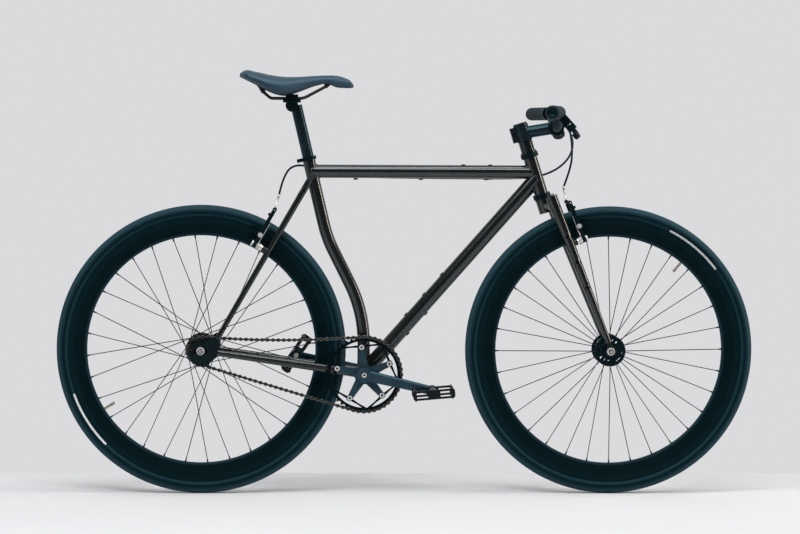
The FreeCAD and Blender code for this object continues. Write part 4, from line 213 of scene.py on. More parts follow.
# Finishes
class Shader(Tree):
    """A material under construction, on its piece's own coordinates."""

    def __init__(self, name):
        self.material = bpy.data.materials.new(name)
        self.material.use_nodes = True
        super().__init__(self.material.node_tree)
        self.bsdf = self.tree.nodes["Principled BSDF"]
        self.place = self.add("ShaderNodeTexCoord").outputs["Object"]

    def grain(self, scale, detail=4.0, softness=0.55, fine=0.0):
        return self.use(CLOUDY_GRAIN, Place=self.place, Scale=scale, Detail=detail, Softness=softness,
                        Fine=fine)

    def polar(self, centre):
        return self.use(AXLE_POLAR, Place=self.place, X=float(centre[0]), Z=float(centre[2]))

    def band(self, value, low, high, soft):
        return self.use(SOFT_BAND, Value=value, Low=low, High=high, Soft=soft)["Mask"]

    def cells(self, scale):
        node = self.add("ShaderNodeTexVoronoi")
        self.feed(node, "Vector", self.place)
        self.feed(node, "Scale", scale)
        return node.outputs["Distance"]

    def distance_along(self, direction):
        node = self.add("ShaderNodeVectorMath", operation="DOT_PRODUCT")
        self.feed(node, 0, self.place)
        self.feed(node, 1, tuple(direction))
        return node.outputs["Value"]

    def wave(self, value, scale):
        return self.math("SINE", self.math("MULTIPLY", value, scale))

    def bump(self, height, strength, distance):
        node = self.add("ShaderNodeBump")
        for socket, value in (("Strength", strength), ("Distance", distance), ("Height", height)):
            self.feed(node, socket, value)
        self.put("Normal", node.outputs[0])

    def put(self, socket, value):
        self.feed(self.bsdf, socket, value)


WHITE = (1.0, 1.0, 1.0, 1.0)
COOL = (0.35, 0.80, 1.0, 1.0)
SKIN_TINT = (0.68, 0.94, 1.0, 1.0)
GRIP_TINT = (0.6, 0.9, 1.0, 1.0)


def finish(name, dark, light, grain, rough, metallic=0.0, bump=0.0, shine=0.5, coat=0.0, tint=WHITE):
    """A finish with cloudy colour, uneven roughness and fine relief.

    dark and light are the two colours that clouds mix, grain the clouds' scale, rough the least and
    greatest roughness, shine the strength of the reflection and tint its colour.
    """
    shader = Shader(name)
    share, uneven, fine = shader.grain(grain, softness=0.6, fine=0.4)
    shader.put("Base Color", shader.mix(share, dark, light))
    shader.put("Roughness", shader.remap(uneven, 0.0, 1.0, *rough))
    shader.put("Metallic", metallic)
    shader.put("Specular IOR Level", shine)
    shader.put("Specular Tint", tint)
    if coat:
        shader.put("Coat Weight", coat)
        shader.put("Coat Roughness", 0.22)
    if bump:
        shader.bump(fine, 0.35, bump)
    return shader


def frame_paint():
    """Satin metallic paint: fine flakes under a soft clear coat."""
    shader = Shader("frame_paint")
    share, uneven, _ = shader.grain(16)
    base = shader.mix(share, (0.0190, 0.0250, 0.0270), (0.0275, 0.0340, 0.0360))
    glint = shader.remap(shader.cells(2600), 0.0, 0.35, 0.4, 0.0)
    shader.put("Base Color", shader.mix(glint, base, (0.15, 0.135, 0.115)))
    shader.put("Roughness", shader.remap(uneven, 0.0, 1.0, 0.21, 0.26))
    shader.put("Metallic", 0.85)
    shader.put("Coat Weight", 0.7)
    shader.put("Coat Roughness", 0.11)
    shader.bump(shader.noise(shader.place, 900, 2.0, 0.55), 0.08, 0.0003)
    return shader


# Radii of the tyres' and rims' bands, among them the painted highlights at the tyres' bead and crown and at the
# rims' nose, and the painted shade in the tyres' grooves
TYRE_STRIP = (0.3168, 0.3214)
TYRE_BEAD_HIGHLIGHT = (0.3160, 0.3215)
TYRE_CROWN_HIGHLIGHT = (0.3275, 0.3345)
TYRE_TREAD = (0.334, 0.337)
TYRE_GROOVE_SHADE = ((0.3258, 0.3270, 0.0004), (0.3318, 0.3325, 0.0003))
RIM_TRACK = (0.300, 0.3155)
RIM_NOSE_HIGHLIGHT = (0.2740, 0.2775)
VALVE_TOP = 0.2715


def tyre_rubber(name, centre, strip_start, strip_end):
    """Tyre rubber with a fine tread, a plain pale reflective strip along part of the sidewall, painted highlights
    in a lighter bead band and a lighter crown, and painted shade in two dark groove lines.
    """
    shader = Shader(name)
    radius, angle, side = shader.polar(centre)
    share, uneven, _ = shader.grain(30)
    base = shader.mix(share, (0.0010, 0.0095, 0.0140), (0.0024, 0.0145, 0.0205))
    turn = shader.math("MODULO", shader.math("ADD", angle, TAU), TAU)
    length = shader.band(turn, math.radians(strip_start), math.radians(strip_end), 0.002)
    strip = shader.math("MULTIPLY", length, shader.band(radius, *TYRE_STRIP, 0.0004))
    # Painted shade: dark lines where the two grooves run round the tyre.
    groove_shade = shader.math("MAXIMUM", *(shader.band(radius, *groove) for groove in TYRE_GROOVE_SHADE))
    # Painted highlights: a lighter band at the bead and a crown that lightens outwards.
    lit_and_shaded_rubber = shader.mix(shader.band(radius, *TYRE_BEAD_HIGHLIGHT, 0.0012), base, (0.0085, 0.0300, 0.0400))
    lit_and_shaded_rubber = shader.mix(shader.remap(radius, *TYRE_CROWN_HIGHLIGHT, 0.0, 1.0), lit_and_shaded_rubber, (0.019, 0.046, 0.062))
    lit_and_shaded_rubber = shader.mix(groove_shade, lit_and_shaded_rubber, (0.001, 0.003, 0.004))
    shader.put("Base Color", shader.mix(strip, lit_and_shaded_rubber, (0.62, 0.63, 0.63)))
    shader.put("Roughness", shader.remap(uneven, 0.0, 1.0, 0.52, 0.7))
    shader.put("Specular IOR Level", 0.10)
    shader.put("Specular Tint", COOL)
    lean = shader.math("ADD", shader.math("MULTIPLY", angle, 165.0), shader.math("MULTIPLY", side, 700.0))
    blocks = shader.math("MULTIPLY", shader.wave(angle, 330.0), shader.math("SINE", lean))
    relief = shader.math("MULTIPLY", blocks, shader.remap(radius, *TYRE_TREAD, 0.0, 1.0))
    ridge = shader.math("MULTIPLY", shader.wave(radius, 5200.0), 0.15)
    shader.bump(shader.math("ADD", relief, ridge), 0.5, 0.0008)
    return shader


def rim_black(name, centre):
    """Matte anodised rim with a slightly smoother, finely turned brake track and a painted highlight along its
    nose.
    """
    shader = Shader(name)
    radius = shader.polar(centre)["Radius"]
    track = shader.band(radius, *RIM_TRACK, 0.0006)
    base = shader.mix(shader.grain(24, 3.0)["Share"], (0.0003, 0.0044, 0.0062), (0.0008, 0.0066, 0.0090))
    # Painted highlight: a lighter band along the rim's nose.
    base = shader.mix(shader.remap(radius, *RIM_NOSE_HIGHLIGHT, 1.0, 0.0), base, (0.0110, 0.0260, 0.0370))
    turned = shader.mix(shader.math("MULTIPLY", track, 0.5), base, (0.0030, 0.0140, 0.0175))
    shader.put("Base Color", turned)
    shader.put("Roughness", shader.remap(track, 0.0, 1.0, 0.5, 0.4))
    shader.put("Specular IOR Level", 0.10)
    shader.put("Specular Tint", COOL)
    shader.bump(shader.math("MULTIPLY", shader.wave(radius, 9000.0), track), 0.12, 0.0003)
    return shader


def saddle_skin():
    """Smooth synthetic saddle cover with a fine pebble grain."""
    shader = Shader("saddle_skin")
    share, uneven, _ = shader.grain(18)
    shader.put("Base Color", shader.mix(share, (0.010, 0.030, 0.052), (0.017, 0.044, 0.073)))
    shader.put("Roughness", shader.remap(uneven, 0.0, 1.0, 0.42, 0.55))
    shader.put("Specular Tint", SKIN_TINT)
    shader.bump(shader.cells(900), 0.25, 0.0005)
    return shader


def two_part(name, base, mask_maker, mark):
    """A finish with marks: the mask picks where the mark's colour, roughness and metal show."""
    shader = finish(name, **base)
    mask = mask_maker(shader)
    sockets = [shader.bsdf.inputs[name] for name in ("Base Color", "Roughness")]
    colour, rough = (socket.links[0].from_socket for socket in sockets)
    shader.put("Base Color", shader.mix(mask, colour, mark["colour"]))
    change = shader.math("MULTIPLY", shader.math("SUBTRACT", mark["rough"], rough), mask)
    shader.put("Roughness", shader.math("ADD", rough, change))
    shader.put("Metallic", shader.remap(mask, 0.0, 1.0, base["metallic"], mark["metallic"]))
    return shader


def arm_hardware(shader):
    """The pad's post and washers beside the arm, and the nut outside it."""
    side = shader.math("ABSOLUTE", shader.parts(shader.place)[1])
    post = shader.band(side, 0.0222, 0.0345, 0.0001)
    return shader.math("MAXIMUM", post, shader.math("GREATER_THAN", side, 0.0512))


def front_studs(shader):
    """The bare brake studs that stand ahead of the fork blades."""
    return shader.math("GREATER_THAN", shader.distance_along(FRONT_STUD), 0.600)


def rear_studs(shader):
    """The bare brake studs that stand behind the seatstays."""
    return shader.math("GREATER_THAN", shader.distance_along(REAR_STUD), 0.588)


def ring_marks(shader, centres, ranges):
    """One within any of the radius ranges about the nearest of the centres, seen along the axle."""
    nearest, *others = (shader.polar(centre)["Radius"] for centre in centres)
    for radius in others:
        nearest = shader.math("MINIMUM", nearest, radius)
    mark, *others = (shader.band(nearest, low, high, 0.0002) for low, high in ranges)
    for other in others:
        mark = shader.math("MAXIMUM", mark, other)
    return mark


NUT_RINGS = ((-0.001, 0.0017), (0.0038, 0.0062), (0.0092, 0.0160))
# Radii of the painted shade in the crank bolts' sockets and round their heads.
SOCKET_SHADE_RINGS = ((-0.001, 0.0028), (0.0060, 0.0072))


def front_nut_rings(shader):
    return ring_marks(shader, [FRONT], NUT_RINGS)


def rear_nut_rings(shader):
    return ring_marks(shader, [REAR], NUT_RINGS)


def bolt_socket_shade(shader):
    """Painted shade in the sockets and round the edges of the bolt in the spindle and the five round it."""
    round_it = [BRACKET + BOLT_CIRCLE * (math.cos(arm) * AHEAD + math.sin(arm) * UP) for arm in SPIDER_ARMS]
    return ring_marks(shader, [BRACKET, *round_it], SOCKET_SHADE_RINGS)


def front_valve(shader):
    """The valve's bare stem, inside the rim's nose."""
    return shader.math("LESS_THAN", shader.polar(FRONT)["Radius"], VALVE_TOP)


def rear_valve(shader):
    """The same on the rear wheel."""
    return shader.math("LESS_THAN", shader.polar(REAR)["Radius"], VALVE_TOP)


DEEP_BLACK = dict(dark=(0.0006, 0.0034, 0.0050), light=(0.0016, 0.0068, 0.0094),
                  grain=30, rough=(0.38, 0.5), metallic=0.2, bump=0.0002, shine=0.25, tint=COOL)
SILVER_STEEL = dict(dark=(0.62, 0.62, 0.61), light=(0.80, 0.80, 0.78),
                    grain=60, rough=(0.30, 0.44), metallic=0.65, bump=0.0001)
FITTING_PAINT = dict(dark=(0.023, 0.0255, 0.0260), light=(0.032, 0.0345, 0.0345),
                     grain=16, rough=(0.25, 0.32), metallic=0.85, bump=0.0002)
TUBE_RUBBER = dict(dark=(0.008, 0.010, 0.012), light=(0.016, 0.018, 0.020),
                   grain=60, rough=(0.55, 0.7), metallic=0.0, bump=0.0002)
SILVER_MARK = dict(colour=(0.74, 0.74, 0.72), rough=0.34, metallic=0.65)
DARK_MARK = dict(colour=(0.006, 0.008, 0.010), rough=0.55, metallic=0.1)
VALVE_MARK = dict(colour=(0.30, 0.27, 0.23), rough=0.4, metallic=0.7)

PLAIN_FINISHES = {
    "deep_black": DEEP_BLACK,
    "silver_steel": SILVER_STEEL,
    "black_alloy": dict(dark=(0.0010, 0.0085, 0.0125), light=(0.0030, 0.0150, 0.0215),
                        grain=26, rough=(0.3, 0.42), metallic=0.3, bump=0.0002, shine=0.25, tint=COOL),
    "lever_black": dict(dark=(0.0010, 0.0045, 0.0065), light=(0.0026, 0.0085, 0.0115),
                        grain=40, rough=(0.62, 0.78), bump=0.0002, shine=0.12, tint=COOL),
    # Painted light: the right crank is the left crank's black alloy made lighter, to stand for the light on its
    # lit side.
    "crank_alloy": dict(dark=(0.018, 0.038, 0.053), light=(0.030, 0.055, 0.077),
                        grain=26, rough=(0.30, 0.40), metallic=0.3, bump=0.0002, shine=0.35, tint=COOL),
    "ring_black": dict(dark=(0.0004, 0.0016, 0.0024), light=(0.0010, 0.0030, 0.0042),
                       grain=30, rough=(0.4, 0.5), metallic=0.1, bump=0.0002, shine=0.15, tint=COOL),
    "post_alloy": dict(dark=(0.008, 0.015, 0.020), light=(0.015, 0.024, 0.030),
                       grain=26, rough=(0.20, 0.28), metallic=0.5, bump=0.0002, tint=COOL),
    "dark_steel": dict(dark=(0.008, 0.010, 0.012), light=(0.018, 0.020, 0.022),
                       grain=80, rough=(0.3, 0.42), metallic=0.5, bump=0.0001),
    # Painted shade: the rollers and pin heads are the chain's own steel, made darker than the plates to stand for
    # the shade in the chain's gaps.
    "chain_steel": dict(dark=(0.008, 0.0085, 0.009), light=(0.024, 0.024, 0.024),
                        grain=120, rough=(0.3, 0.5), metallic=0.9, bump=0.0001),
    "link_steel": dict(dark=(0.050, 0.051, 0.050), light=(0.105, 0.103, 0.098),
                       grain=120, rough=(0.28, 0.45), metallic=0.95, bump=0.0001),
    "grip_rubber": dict(dark=(0.007, 0.014, 0.019), light=(0.014, 0.023, 0.029),
                        grain=60, rough=(0.55, 0.7), bump=0.0003, shine=0.28, tint=GRIP_TINT),
    "headset_spacers": dict(dark=(0.002, 0.006, 0.008), light=(0.004, 0.010, 0.013),
                            grain=40, rough=(0.14, 0.22), metallic=0.3, bump=0.0001, shine=0.6),
    "black_plastic": dict(dark=(0.003, 0.006, 0.008), light=(0.007, 0.011, 0.014),
                          grain=70, rough=(0.45, 0.6), bump=0.0003, shine=0.2),
    "housing": dict(dark=(0.003, 0.005, 0.007), light=(0.007, 0.010, 0.012),
                    grain=90, rough=(0.38, 0.5), bump=0.0001, shine=0.3, tint=COOL),
    "pedal": dict(dark=(0.001, 0.004, 0.005), light=(0.003, 0.008, 0.010),
                  grain=70, rough=(0.38, 0.5), bump=0.0003, shine=0.18),
    # Painted shade: the rear dropouts are the frame's metal, given a near-black base for plates that face away
    # from the lights.
    "rear_dropouts": dict(dark=(0.001, 0.004, 0.005), light=(0.003, 0.008, 0.010),
                          grain=60, rough=(0.2, 0.3), metallic=0.4, bump=0.0001, shine=0.3, coat=0.25,
                          tint=COOL),
}
MARKED_FINISHES = {
    "front_inner_tube": (TUBE_RUBBER, front_valve, VALVE_MARK),
    "rear_inner_tube": (TUBE_RUBBER, rear_valve, VALVE_MARK),
    "brake_arm": (DEEP_BLACK, arm_hardware, SILVER_MARK),
    "fork_fittings": (FITTING_PAINT, front_studs, SILVER_MARK),
    "frame_fittings": (FITTING_PAINT, rear_studs, SILVER_MARK),
    "front_axle": (SILVER_STEEL, front_nut_rings, DARK_MARK),
    "rear_axle": (SILVER_STEEL, rear_nut_rings, DARK_MARK),
    "crank_bolts": (SILVER_STEEL, bolt_socket_shade, DARK_MARK),
}
MATERIALS = {
    "frame_paint": frame_paint(),
    "saddle_skin": saddle_skin(),
    "front_tyre": tyre_rubber("front_tyre", FRONT, 37.4, 63.3),
    "rear_tyre": tyre_rubber("rear_tyre", REAR, 199.5, 225.1),
    "front_rim": rim_black("front_rim", FRONT),
    "rear_rim": rim_black("rear_rim", REAR),
}
MATERIALS.update({name: finish(name, **values) for name, values in PLAIN_FINISHES.items()})
MATERIALS.update({name: two_part(name, *values) for name, values in MARKED_FINISHES.items()})

# Nodes whose finish is neither their own by name nor their slot's
NODE_FINISHES = {
    "dark_steel": ("saddle_rails", "stem_bolts", "rear_cog"),
    "deep_black": ("stem_faceplate", "handlebar", "lever_perches", "front_hub", "rear_hub", "headset_cups",
                   "seat_collar"),
    "crank_alloy": ("crank_right",),
    "ring_black": ("chainring",),
    "post_alloy": ("seatpost", "stem"),
    "lever_black": ("brake_lever_right", "brake_lever_left"),
    "brake_arm": ("brake_arm_front_right", "brake_arm_front_left", "brake_arm_rear_right",
                  "brake_arm_rear_left"),
    "pedal": ("pedal_right", "pedal_left"),
}


def node_materials():
    """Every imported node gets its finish, by its own name, from the list above or by its slot."""
    chosen = {name: key for key, names in NODE_FINISHES.items() for name in names}
    for entry in frame["record"]["subparts"]:
        name = entry["node"]
        key = name if name in MATERIALS else chosen.get(name, entry["material_slot"])
        mesh = NODES[name].data
        mesh.materials.clear()
        mesh.materials.append(MATERIALS[key].material)


node_materials()
place_camera()


# Surfaces
class Form:
    """A mesh gathered from grids of points, each grid a function of two parameters."""

    def __init__(self):
        self.points = []
        self.quads = []
        self.count = 0

    def grid(self, points, ring=False):
        """Adds rows of points, each row a closed loop. The last row joins the first in a ring, and otherwise
        the ends stay open."""
        rows, columns = points.shape[:2]
        index = np.arange(rows * columns).reshape(rows, columns) + self.count
        index = np.concatenate([index, index[:, :1]], axis=1)
        if ring:
            index = np.concatenate([index, index[:1]], axis=0)
        quads = np.stack([index[:-1, :-1], index[:-1, 1:], index[1:, 1:], index[1:, :-1]], axis=-1)
        self.points.append(points.reshape(-1, 3))
        self.quads.append(quads.reshape(-1, 4))
        self.count += rows * columns
        return self

    def build(self, name, finish_name, body, slot, *nodes):
        """Makes the object, gives it a finish and a body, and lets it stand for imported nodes."""
        points = np.concatenate(self.points)
        quads = np.concatenate(self.quads)
        mesh = bpy.data.meshes.new(name)
        mesh.vertices.add(len(points))
        mesh.vertices.foreach_set("co", points.astype(np.float32).ravel())
        mesh.loops.add(quads.size)
        mesh.loops.foreach_set("vertex_index", quads.astype(np.int32).ravel())
        mesh.polygons.add(len(quads))
        mesh.polygons.foreach_set("loop_start", np.arange(0, quads.size, 4, dtype=np.int32))
        mesh.update(calc_edges=True)
        mesh.validate()
        mesh.polygons.foreach_set("use_smooth", np.ones(len(mesh.polygons), dtype=bool))
        mesh.materials.append(MATERIALS[finish_name].material)
        obj = bpy.data.objects.new(name, mesh)
        bpy.context.collection.objects.link(obj)
        if nodes:
            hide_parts(*nodes)
        if body:
            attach(obj, body)
        return obj


def unit(vector):
    return vector / np.linalg.norm(vector, axis=-1, keepdims=True)


def mirror(points):
    """The same points on the rider's other side, with each loop reversed so that faces point outwards."""
    return points[:, ::-1] * OTHER_SIDE


def turn_frame(axis):
    """Two directions square to an axis and to each other."""
    helper = UP if abs(axis[2]) < 0.8 else AHEAD
    first = unit(np.cross(axis, helper))
    return first, np.cross(axis, first)


def lathe(origin, axis, profile, steps=32):
    """A profile of radius and distance turned about an axis: one row of points for each profile point."""
    axis = unit(np.asarray(axis, dtype=float))
    first, second = turn_frame(axis)
    profile = np.asarray(profile, dtype=float)
    angle = np.linspace(0, TAU, steps, endpoint=False)
    ring = np.cos(angle)[:, None] * first + np.sin(angle)[:, None] * second
    return np.asarray(origin) + profile[:, 1, None, None] * axis + profile[:, 0, None, None] * ring


def tube(path, radius, steps=12, reference=(0.31, 0.17, 0.93)):
    """Rings of a given radius, one number or one for each point, square to a path of points."""
    tangent = unit(np.gradient(path, axis=0))
    first = unit(np.cross(tangent, np.asarray(reference)))
    second = np.cross(tangent, first)
    angle = np.linspace(0, TAU, steps, endpoint=False)
    radius = np.broadcast_to(np.asarray(radius, dtype=float), (len(path),))[:, None, None]
    ring = np.cos(angle)[None, :, None] * first[:, None] + np.sin(angle)[None, :, None] * second[:, None]
    return path[:, None] + radius * ring


def route(name, points):
    """Points along the smooth spline whose control points are a route's points."""
    points = np.asarray(points, dtype=float)
    curve = bpy.data.curves.new(name, "CURVE")
    curve.dimensions = "3D"
    curve.resolution_u = 16
    spline = curve.splines.new("NURBS")
    spline.points.add(len(points) - 1)
    spline.points.foreach_set("co", np.c_[points, np.ones(len(points))].ravel())
    spline.order_u = 3
    spline.use_endpoint_u = True
    holder = bpy.data.objects.new(name, curve)
    mesh = bpy.data.meshes.new_from_object(holder)
    line = np.empty(len(mesh.vertices) * 3)
    mesh.vertices.foreach_get("co", line)
    bpy.data.objects.remove(holder)
    bpy.data.curves.remove(curve)
    bpy.data.meshes.remove(mesh)
    return line.reshape(-1, 3)


def smooth(at, stations, values):
    """A smooth curve through values at stations, by cubic pieces with slopes from the neighbours."""
    slope = np.gradient(values, stations)
    piece = np.clip(np.searchsorted(stations, at) - 1, 0, len(stations) - 2)
    width = stations[piece + 1] - stations[piece]
    t = (at - stations[piece]) / width
    low, high = values[piece], values[piece + 1]
    return ((2 * t**3 - 3 * t**2 + 1) * low + (t**3 - 2 * t**2 + t) * width * slope[piece]
            + (3 * t**2 - 2 * t**3) * high + (t**3 - t**2) * width * slope[piece + 1])


# Saddle: stations of length, top, underside and half width
SADDLE = np.array([
    (-0.3940, 0.9980, 0.9870, 0.030), (-0.3840, 1.0036, 0.9820, 0.054), (-0.357, 1.0008, 0.9690, 0.068),
    (-0.325, 0.9940, 0.9525, 0.072), (-0.290, 0.9894, 0.9435, 0.064), (-0.255, 0.9896, 0.9530, 0.046),
    (-0.215, 0.9923, 0.9675, 0.031), (-0.188, 0.9933, 0.9722, 0.025), (-0.166, 0.9926, 0.9640, 0.0225),
    (-0.148, 0.9880, 0.9627, 0.020), (-0.1335, 0.9805, 0.9628, 0.0155), (-0.1272, 0.9730, 0.9640, 0.010)])
SIDE_HEIGHT = 0.42
SIDE_POWER = 0.62
TOP_POWER = 1.05
BELLY_POWER = 0.35
TUCK = 0.16
HOLLOW = 0.05
END_SHARES = np.array([[0.02], [0.6], [0.9]])
END_ROUNDING = np.array([[0.0015], [0.0012], [0.0005]])
BASE_DEPTH = 0.006
BASE_GAP = 0.0006
BASE_WIDTH = 0.82
RAIL_ENDS = (((-0.3395, -0.022, 0.9534), (-0.3490, -0.022, 0.9760)),
             ((-0.1915, -0.0136, 0.9672), (-0.1850, -0.0126, 0.9780)))


def rounded_sections(x, top, low, half):
    """Closed sections along the length: round a section a point's height follows a power of the sine and
    its width a power of the cosine, so the sides are full, tuck in below, and the underside is hollow."""
    angle = np.linspace(0, TAU, 96, endpoint=False)
    sine, cosine = np.sin(angle), np.cos(angle)
    side = low + (top - low) * SIDE_HEIGHT
    width = np.sign(cosine) * np.abs(cosine) ** SIDE_POWER
    tuck = np.where(sine < 0, 1 - TUCK * np.abs(sine), 1.0)
    y = half[:, None] * width * tuck
    hollow = HOLLOW * half[:, None] * (1 - np.clip(np.abs(width), 0, 1) ** 2)
    z_up = side[:, None] + (top - side)[:, None] * np.abs(sine) ** TOP_POWER
    z_down = side[:, None] - (side - low)[:, None] * np.abs(sine) ** BELLY_POWER + hollow * np.abs(sine)
    shell = np.stack([np.broadcast_to(x[:, None], y.shape), y, np.where(sine >= 0, z_up, z_down)], axis=-1)
    middle = shell.mean(axis=1, keepdims=True)
    tail = middle[:1] + (shell[:1] - middle[:1]) * END_SHARES[:, :, None]
    nose = middle[-1:] + (shell[-1:] - middle[-1:]) * END_SHARES[::-1, :, None]
    tail[..., 0] -= END_ROUNDING
    nose[..., 0] += END_ROUNDING[::-1]
    return np.concatenate([tail, shell, nose])


def saddle():
    """The padded cover, smooth along its stations, and the plastic base with rail sockets that closes it."""
    eased = 0.5 - 0.5 * np.cos(np.pi * np.linspace(0, 1, 120))
    x = SADDLE[0, 0] + (SADDLE[-1, 0] - SADDLE[0, 0]) * eased
    top, low, half = (smooth(x, SADDLE[:, 0], SADDLE[:, column]) for column in (1, 2, 3))
    cover = Form().grid(rounded_sections(x, top, low, half))
    piece = cover.build("saddle_pad", "saddle_skin", "saddle_assembly", "saddle_skin", "saddle_cover")
    x, low, half = (values[8:-8] for values in (x, low, half))
    shell = Form().grid(rounded_sections(x, low + BASE_DEPTH, low + BASE_GAP, half * BASE_WIDTH))
    for foot, head in RAIL_ENDS:
        length = np.linalg.norm(np.subtract(head, foot))
        profile = [(0.0036, -0.002), (0.0050, -0.002), (0.0054, 0.002), (0.0066, length * 0.5),
                   (0.0095, length)]
        socket = lathe(foot, np.subtract(head, foot), profile, 24)
        shell.grid(socket).grid(mirror(socket))
    shell.build("saddle_shell", "black_plastic", "saddle_assembly", "black_plastic", "saddle_base")


# Bar grips
BAR_END = np.array([0.320971, -0.29, 0.906407])
INWARD = np.array([0.188456, 0.982082, 0.0])
GRIP_LENGTH = 0.128
GRIP_RADIUS = 0.0149
RIB_PITCH = 0.0052
RIB_HEIGHT = 0.0010


def grips():
    """Rubber grips with close-set rings, a collar at the inner end and a domed end plug."""
    along = np.linspace(0.004, GRIP_LENGTH - 0.012, 260)
    ribs = np.abs(np.sin(np.pi * along / RIB_PITCH)) ** 0.6
    body = [(0.0111, 0.0), (0.0150, 0.0004), (0.0158, 0.0015), (0.0158, 0.0035)]
    body += list(zip(GRIP_RADIUS + RIB_HEIGHT * ribs, along))
    body += [(0.0153, GRIP_LENGTH - 0.011), (0.0160, GRIP_LENGTH - 0.010), (0.0160, GRIP_LENGTH - 0.002),
             (0.0152, GRIP_LENGTH), (0.0112, GRIP_LENGTH)]
    plug = [(0.0002, -0.0020), (0.0075, -0.0020), (0.0090, -0.0034), (0.0115, -0.0038), (0.0128, -0.0026),
            (0.0130, -0.0008), (0.0130, 0.0), (0.0108, 0.0002)]
    for name, finish_name, slot, profile, nodes in (
            ("grips_ribbed", "grip_rubber", "grip_rubber", body, ("grips",)),
            ("bar_plugs", "deep_black", "black_plastic", plug, ())):
        shape = lathe(BAR_END, INWARD, profile, 40)
        Form().grid(shape).grid(mirror(shape)).build(name, finish_name, "steering", slot, *nodes)


# Brake cables
HOUSING = 0.0025
NOODLE = 0.0023
WIRE = 0.0008
WIRE_TAIL = 0.054
WIRE_CAP = 0.004
BOOT_LENGTH = 0.0232
BOOT_LAP = 0.002
FOLD_PITCH = 0.0031
ADJUSTER = np.array([0.364198, -0.123151, 0.894386])
JOIN = (0.205336, 0.010955, 0.750854)


def ferrule(line, step, radius, length):
    """A short stepped ferrule at the start of a line, pointing to the point that is step points on."""
    return lathe(line[0], line[step] - line[0], [
        (WIRE, -0.0002), (radius, 0.0), (radius, length * 0.7), (radius * 0.92, length * 0.75),
        (radius * 0.92, length * 0.95), (HOUSING, length)], 20)


def cable_end(name, entry, corner, end):
    """The silver noodle from the housing down and across, then a ribbed boot and the bare inner wire."""
    line = route(name + "_noodle", [entry, corner, end])
    noodle = Form().grid(tube(line, NOODLE, 16)).grid(ferrule(line, 2, 0.0036, 0.008))
    along = np.linspace(0.0, BOOT_LENGTH, 60)
    folds = 0.0036 + 0.0009 * np.abs(np.sin(np.pi * along / FOLD_PITCH))
    taper = np.interp(along, [0, 0.003, 0.019, BOOT_LENGTH], [0.72, 1.0, 0.9, 0.45])
    boot = Form().grid(lathe(np.asarray(end) + OUTWARD * BOOT_LAP, OUTWARD, np.c_[folds * taper, along], 20))
    span = end[1] + WIRE_TAIL
    wire = Form().grid(lathe(end, OUTWARD, [
        (WIRE, -0.002), (WIRE, span), (WIRE * 1.6, span), (WIRE * 1.6, span + WIRE_CAP),
        (0.0001, span + WIRE_CAP)], 8))
    return noodle, boot, wire


def brake_cable(name, body, housing, noodle_points):
    """Housing on its smooth route, a ferrule at its start, and the noodle, boot and wire at the brake."""
    line = route(name + "_route", housing)
    noodle, boot, wire = cable_end(name, *noodle_points)
    Form().grid(tube(line, HOUSING, 14)).build(name + "_housing", "housing", body, "housing", name)
    start = Form().grid(ferrule(line, 3, 0.0033, 0.010))
    start.build(name + "_ferrule", "dark_steel", body, "dark_steel")
    noodle.build(name + "_noodle", "silver_steel", body, "silver_steel")
    boot.build(name + "_boot", "black_plastic", body, "black_plastic")
    wire.build(name + "_wire", "silver_steel", body, "silver_steel")


def cables():
    """Both brake cables. The loop ahead of the head tube follows the bar at one end and the frame at the
    other."""
    entry = (0.3813, 0.0661, 0.7313)
    brake_cable("front_brake_cable", "steering", [
        ADJUSTER, ADJUSTER + INWARD * 0.040, (0.385971, -0.036, 0.866407), (0.396971, 0.014, 0.818407),
        (0.396971, 0.056, 0.775407), entry], (entry, (0.3860, 0.0661, 0.6953), (0.3860, 0.036, 0.6953)))
    entry = (-0.3022, 0.0661, 0.7094)
    brake_cable("rear_brake_cable", "frame", [
        JOIN, (-0.16004, 0.010955, 0.750854), (-0.206053, 0.036, 0.7664), (-0.255053, 0.046, 0.7844),
        (-0.290053, 0.060, 0.7644), entry], (entry, (-0.3120, 0.0661, 0.6744), (-0.3120, 0.036, 0.6744)))
    line = route("cable_loop", [
        ADJUSTER * OTHER_SIDE, (ADJUSTER + INWARD * 0.035) * OTHER_SIDE, (0.401971, 0.068, 0.856407),
        (0.401971, 0.060, 0.812407), (0.369971, 0.046, 0.775407), (0.317971, 0.031, 0.754407),
        (0.262336, 0.010955, 0.750854), JOIN])
    loop = Form().grid(tube(line, HOUSING, 14)).build(
        "rear_brake_cable_loop_housing", "housing", None, "housing", "rear_brake_cable_loop")
    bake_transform(loop)


# Spoke nipples
RIM_INNER = 0.27035
RIM_OFFSET = 0.001
FLANGE_RADIUS = 0.033
SPOKES = 32
NIPPLE = ((0.0001, -0.0002), (0.0020, -0.0002), (0.0020, 0.0035), (0.0016, 0.0040), (0.0015, 0.0078),
          (0.0010, 0.0084))


def spoke_end(radius, angle, side):
    return np.array([radius * math.cos(angle), side, radius * math.sin(angle)])


def nipples():
    """A small shouldered nut where each spoke meets the rim's nose, in line with its spoke."""
    for name, centre, first, flange, crossings in (
            ("front", FRONT, 0.5, 0.035, 0), ("rear", REAR, 3.3, 0.031, 3)):
        form = Form()
        for spoke in range(SPOKES):
            side = -1 if spoke % 2 == 0 else 1
            angle = math.radians(first + 360 / SPOKES * spoke)
            lean = math.radians(crossings * 720 / SPOKES * (1 if spoke // 2 % 2 else -1))
            hub = spoke_end(FLANGE_RADIUS, angle + lean, side * flange)
            rim = spoke_end(RIM_INNER, angle, side * RIM_OFFSET)
            form.grid(lathe(centre + rim, hub - rim, NIPPLE, 8))
        form.build(name + "_nipples", "dark_steel", name + "_wheel", "dark_steel")


